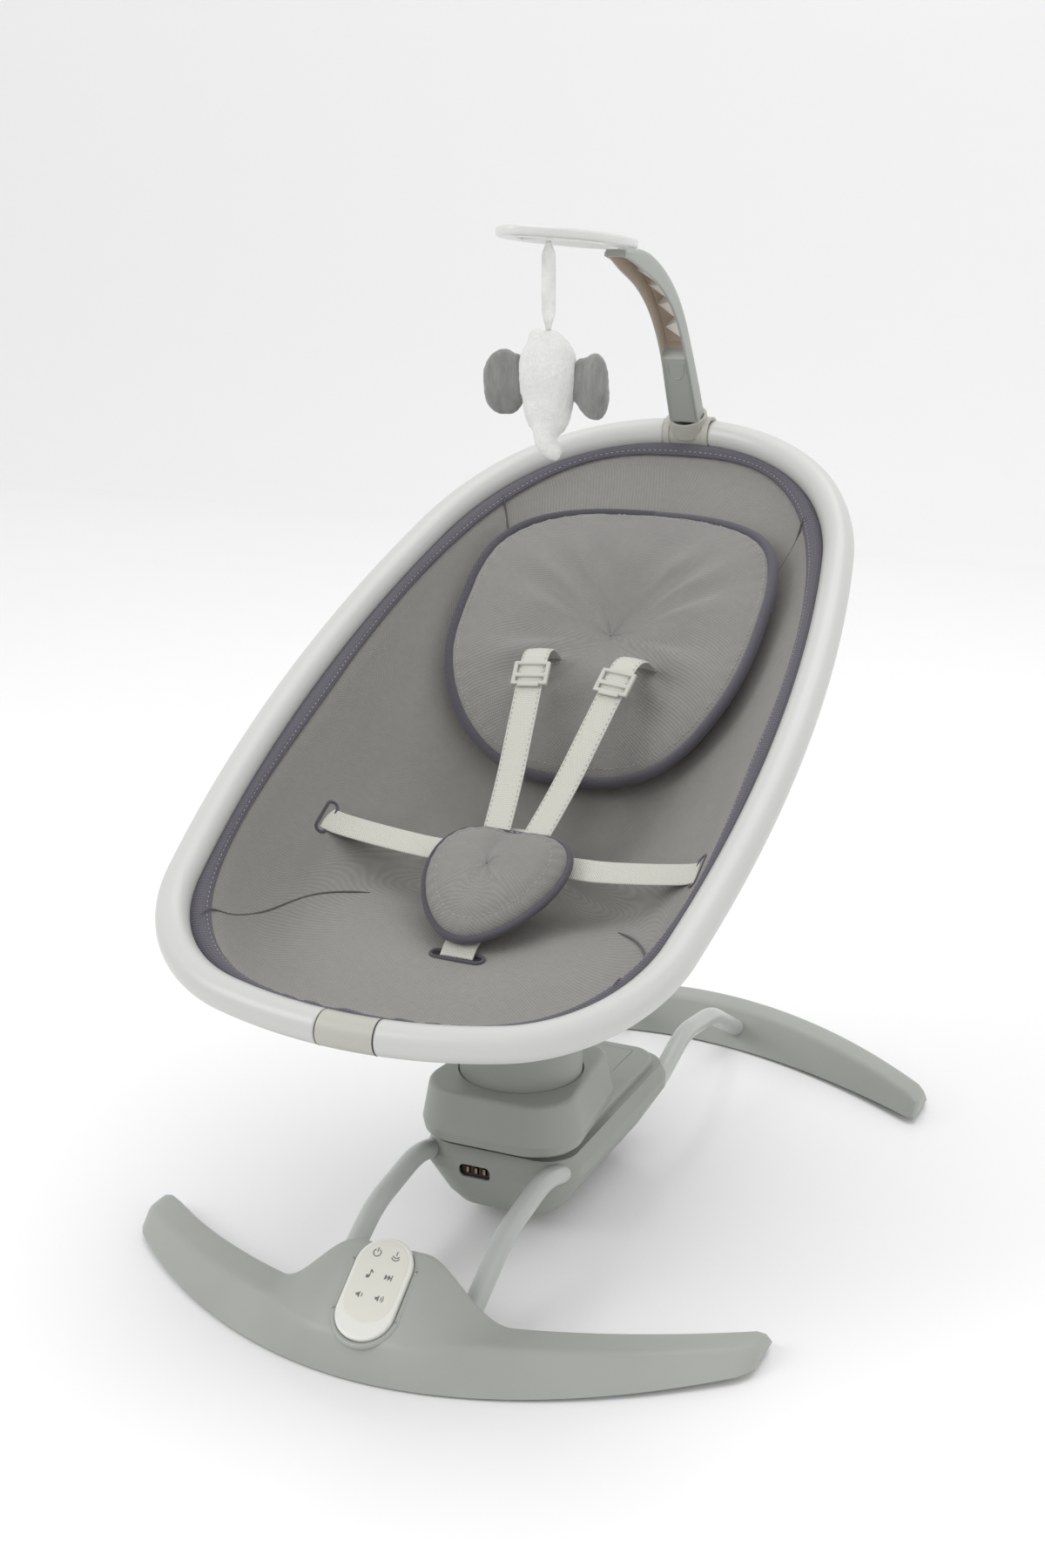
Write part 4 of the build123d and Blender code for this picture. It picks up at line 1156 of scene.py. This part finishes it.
def stuffed(name, meshes, slot, voxel=0.0016, rounds=10, fluff=0.0006):
    """Sewn parts merged to one stuffed skin, evened out and given a short pile."""
    piece = add_piece(join_meshes(name, meshes), "toy", slot)
    step = piece.modifiers.new("skin", "REMESH")
    step.mode = "VOXEL"
    step.voxel_size = voxel
    apply_modifiers(piece)
    relax(piece.data, rounds)
    for vert in piece.data.vertices:
        vert.co += vert.normal * (noise.noise(vert.co * 330) * fluff + noise.noise(vert.co * 60) * 0.0012)
    piece.data.materials.clear()
    piece.data.materials.append(look[slot])
    shade_smooth(piece.data)
    return piece


def make_toy():
    make_animal()
    for side, word in both_sides:
        make_ear(side, word)
    make_loop()


def hanging(x, y, z):
    """A place relative to the toy's top, in millimetres."""
    return toy_hang + Vector((x, y, z - ribbon_length))


def make_animal():
    parts = [
        blob(hanging(0, 0, -38), (26, 20, 37)),
        blob(hanging(0, 0, -62), (21.5, 18, 31)),
        blob(hanging(-11, 0, -8), (7.5, 7, 8)),
    ]
    trunk = ((0, -4, -72), (1, -9, -84), (4, -11, -94), (9, -11, -100), (15, -10, -102))
    line = spline_line([hanging(*p) * MM for p in trunk], 26)
    parts.append(tube_mesh("trunk", line, lambda t: mix(0.0125, 0.0062, t), sides=18))
    body = stuffed("toy_animal", parts, "plush_white")
    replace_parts(body, "toy_body")


def make_ear(side, word):
    turn = Matrix.Rotation(math.radians(-side * 15), 4, "Z") @ Matrix.Rotation(math.radians(side * 7), 4, "Y")
    lobes = ((40, -46, (17, 10, 28)), (44, -54, (13, 9, 20)), (29, -42, (12, 7.5, 20)))
    meshes = [blob(hanging(side * x, 2, z), size, turn) for x, z, size in lobes]
    ear = stuffed("toy_ear_" + word, meshes, "plush_grey", 0.0015, 8, 0.0004)
    for vert in ear.data.vertices:
        away = (vert.co.x / MM - toy_hang.x) * side
        vert.co.y -= 5.0 * smooth((away - 30) / 28) * MM
    if side == 1:
        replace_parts(ear, "toy_ears")


def make_loop():
    """The satin ribbon, pinched at both ends."""
    rows = []
    count = 40
    for k in range(count):
        t = k / (count - 1)
        pinch = 1 - 0.62 * math.exp(-(t / 0.09) ** 2) - 0.58 * math.exp(-((1 - t) / 0.12) ** 2)
        twist = math.sin(math.pi * t) * 0.25
        row = []
        for j in range(17):
            c = -1 + j / 8
            across = c * 5.9 * pinch
            fold = math.cos(c * 9) * 1.1 * (1 - pinch)
            drop = -t * (ribbon_length + 1.5)
            place = Vector((across * math.cos(twist), across * math.sin(twist) + fold, drop))
            row.append((toy_hang + place) * MM)
        rows.append(row)
    piece = add_piece(grid_mesh("toy_loop", rows, around=False), "toy", "ribbon")
    thicken(piece, 0.0008)
    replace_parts(piece, "toy_ribbon")


# ---- remote icons
key_spots = {
    "power": (-8.5, 29.0), "timer": (8.5, 29.0), "music": (-8.5, 10.5),
    "next": (8.5, 10.5), "quiet": (-8.5, -8.0), "loud": (8.5, -8.0),
}


def flat_shape(points, thick=0.3):
    """A thin printed shape with the given outline, in the remote's plane."""
    area = sum(a[0] * b[1] - b[0] * a[1] for a, b in zip(points, points[1:] + points[:1]))
    if area < 0:
        points = points[::-1]
    count = len(points)
    places = [Vector((x, y, z)) for z in (0, thick) for x, y in points]
    faces = [tuple(reversed(range(count))), tuple(range(count, 2 * count))]
    faces += [(k, (k + 1) % count, count + (k + 1) % count, count + k) for k in range(count)]
    return places, faces


def arc_shape(x, y, radius, width, start, end, count=28):
    edges = []
    for r in (radius + width / 2, radius - width / 2):
        angles = [math.radians(mix(start, end, k / count)) for k in range(count + 1)]
        edges.append([(x + r * math.cos(a), y + r * math.sin(a)) for a in angles])
    return edges[0] + edges[1][::-1]


def bar_shape(x, y, width, height):
    corners = ((-0.5, -0.5), (0.5, -0.5), (0.5, 0.5), (-0.5, 0.5))
    return [(x + width * a, y + height * b) for a, b in corners]


def moved(x, y, points):
    return [(x + a, y + b) for a, b in points]


def icon_shapes():
    line = 0.75
    x, y = key_spots["power"]
    shapes = [arc_shape(x, y, 3.2, line, 125, 415), bar_shape(x, y + 2.6, line, 3.6)]
    x, y = key_spots["timer"]
    shapes.append(arc_shape(x, y, 3.6, line, 200, 340))
    shapes.append(arc_shape(x, y + 2.2, 3.4, line, 215, 325))
    shapes.append(bar_shape(x, y + 2.6, line, 3.4))
    x, y = key_spots["music"]
    shapes += [bar_shape(x + 1.2, y + 0.8, line, 6.0), arc_shape(x - 0.2, y - 2.4, 0.75, 1.5, 0, 359)]
    shapes.append(moved(x, y, [(0.9, 3.8), (1.5, 3.8), (3.6, 1.9), (3.2, 0.9), (1.5, 2.4)]))
    x, y = key_spots["next"]
    shapes += [moved(x + shift, y, [(0, -2.5), (2.7, 0), (0, 2.5)]) for shift in (-2.7, 0.2)]
    shapes.append(bar_shape(x + 3.4, y, line, 5.0))
    for word, waves in (("quiet", (2.2,)), ("loud", (2.2, 3.9))):
        x, y = key_spots[word]
        cone = [(-3.8, -1.0), (-2.4, -1.0), (-0.6, -2.6), (-0.6, 2.6), (-2.4, 1.0), (-3.8, 1.0)]
        shapes.append(moved(x, y, cone))
        shapes += [arc_shape(x - 0.6, y, radius, line * 0.8, -42, 42) for radius in waves]
    return shapes


def make_remote_details():
    top = -4.5 - remote_sink + 0.4 + remote_depth
    sheet = dock_matrix(top)
    outline = pill_points(72, 44)
    rows = []
    for share, rise in ((1.0, -0.25), (1.0, 0.12), (0.985, 0.3), (0.955, 0.38), (0.5, 0.42)):
        rows.append([sheet @ Vector((p.x * share, p.y * share + 0.0055, rise * MM)) for p in outline])
    mesh = grid_mesh("remote_sheet", rows, cap=(True, True))
    piece = add_piece(mesh, "remote", "remote_overlay")
    shade_by_angle(piece, 40)
    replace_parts(piece, "remote_face")
    place = dock_matrix(top + 0.36)
    points, faces = [], []
    for shape in icon_shapes():
        places, rim = flat_shape(shape)
        first = len(points)
        points += [place @ (p * MM) for p in places]
        faces += [tuple(first + k for k in face) for face in rim]
    add_piece(build_mesh("remote_icons", points, faces, flat=True), "remote", "remote_overlay", "ink")


# ---- small housing details
def make_contacts():
    low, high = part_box("port_insert")
    middle = (low + high) / 2
    pins = []
    for shift in (-0.008, 0.0, 0.008):
        place = Vector((middle.x + shift, low.y + 0.0015, middle.z))
        pins.append(rounded_box((0.0026, 0.006, 0.0052), place, 0.0005))
    add_piece(join_meshes("inlet_contacts", pins), "base", "steel", "brass")


def make_joint_lines():
    """Thin dark gaps at both ends of the ring's sleeve and collar."""
    rings = []
    for end, half in ((-1, 24.0), (1, 23.0)):
        place, slope = ring_end(end, half)
        for side in (-1, 1):
            along = (Vector((1, 0, 0)) + seat_s * slope * side).normalized()
            across = along.cross(seat_n).normalized()
            centre = seat(side * place.x, place.y, 0)
            radius = (ring_radius - 0.25) * MM
            loop = [centre + (across * math.cos(a) + seat_n * math.sin(a)) * radius for a in round_angles(64)]
            rings.append(tube_mesh("gap", loop, 0.00045, True, 6))
    add_piece(join_meshes("ring_joint_lines", rings), "seat", "black_plastic")


# ---- studio
def make_floor():
    reach, back, height, bend = 6.0, 4.5, 5.0, 1.5
    profile = [(-reach, 0.0), (back - bend, 0.0)]
    for k in range(1, 13):
        a = math.pi / 2 * k / 12
        profile.append((back - bend + bend * math.sin(a), bend - bend * math.cos(a)))
    profile.append((back, height))
    rows = [[Vector((x, y, z)) for y, z in profile] for x in (reach, -reach)]
    mesh = grid_mesh("floor", rows, around=False)
    floor = bpy.data.objects.new("floor", mesh)
    bpy.context.scene.collection.objects.link(floor)
    pale = Nodes("floor", (0.95, 0.95, 0.955), 0.25)
    pale.rough(pale.noise(3.0, 2.0), 0.16, 0.26)
    mesh.materials.append(pale.material)


def add_light(name, place, target, size, power):
    data = bpy.data.lights.new(name, "AREA")
    data.shape = "RECTANGLE"
    data.size = data.size_y = size
    data.energy = power
    light = bpy.data.objects.new(name, data)
    light.location = place
    light.rotation_euler = (Vector(target) - Vector(place)).to_track_quat("-Z", "Y").to_euler()
    bpy.context.scene.collection.objects.link(light)


def make_lights():
    add_light("key", (-2.2, -2.4, 2.6), (0, 0, 0.4), 1.8, 31)
    add_light("fill", (2.8, -1.2, 1.6), (0, 0, 0.4), 2.4, 8)
    add_light("top", (0.4, 0.8, 3.2), (0, 0, 0.3), 2.4, 27)
    world = bpy.data.worlds.new("studio")
    world.use_nodes = True
    world.node_tree.nodes["Background"].inputs[0].default_value = (1, 1, 1, 1)
    world.node_tree.nodes["Background"].inputs[1].default_value = 0.86
    bpy.context.scene.world = world
    bpy.context.scene.view_settings.view_transform = "Standard"


# ---- assembly
make_camera()
dress_cad()
make_feet()
make_ring()
make_seat()
make_slots()
make_toy_arm()
make_pillow()
make_straps()
make_crotch_pad()
make_toy()
make_remote_details()
make_contacts()
make_joint_lines()
make_floor()
make_lights()
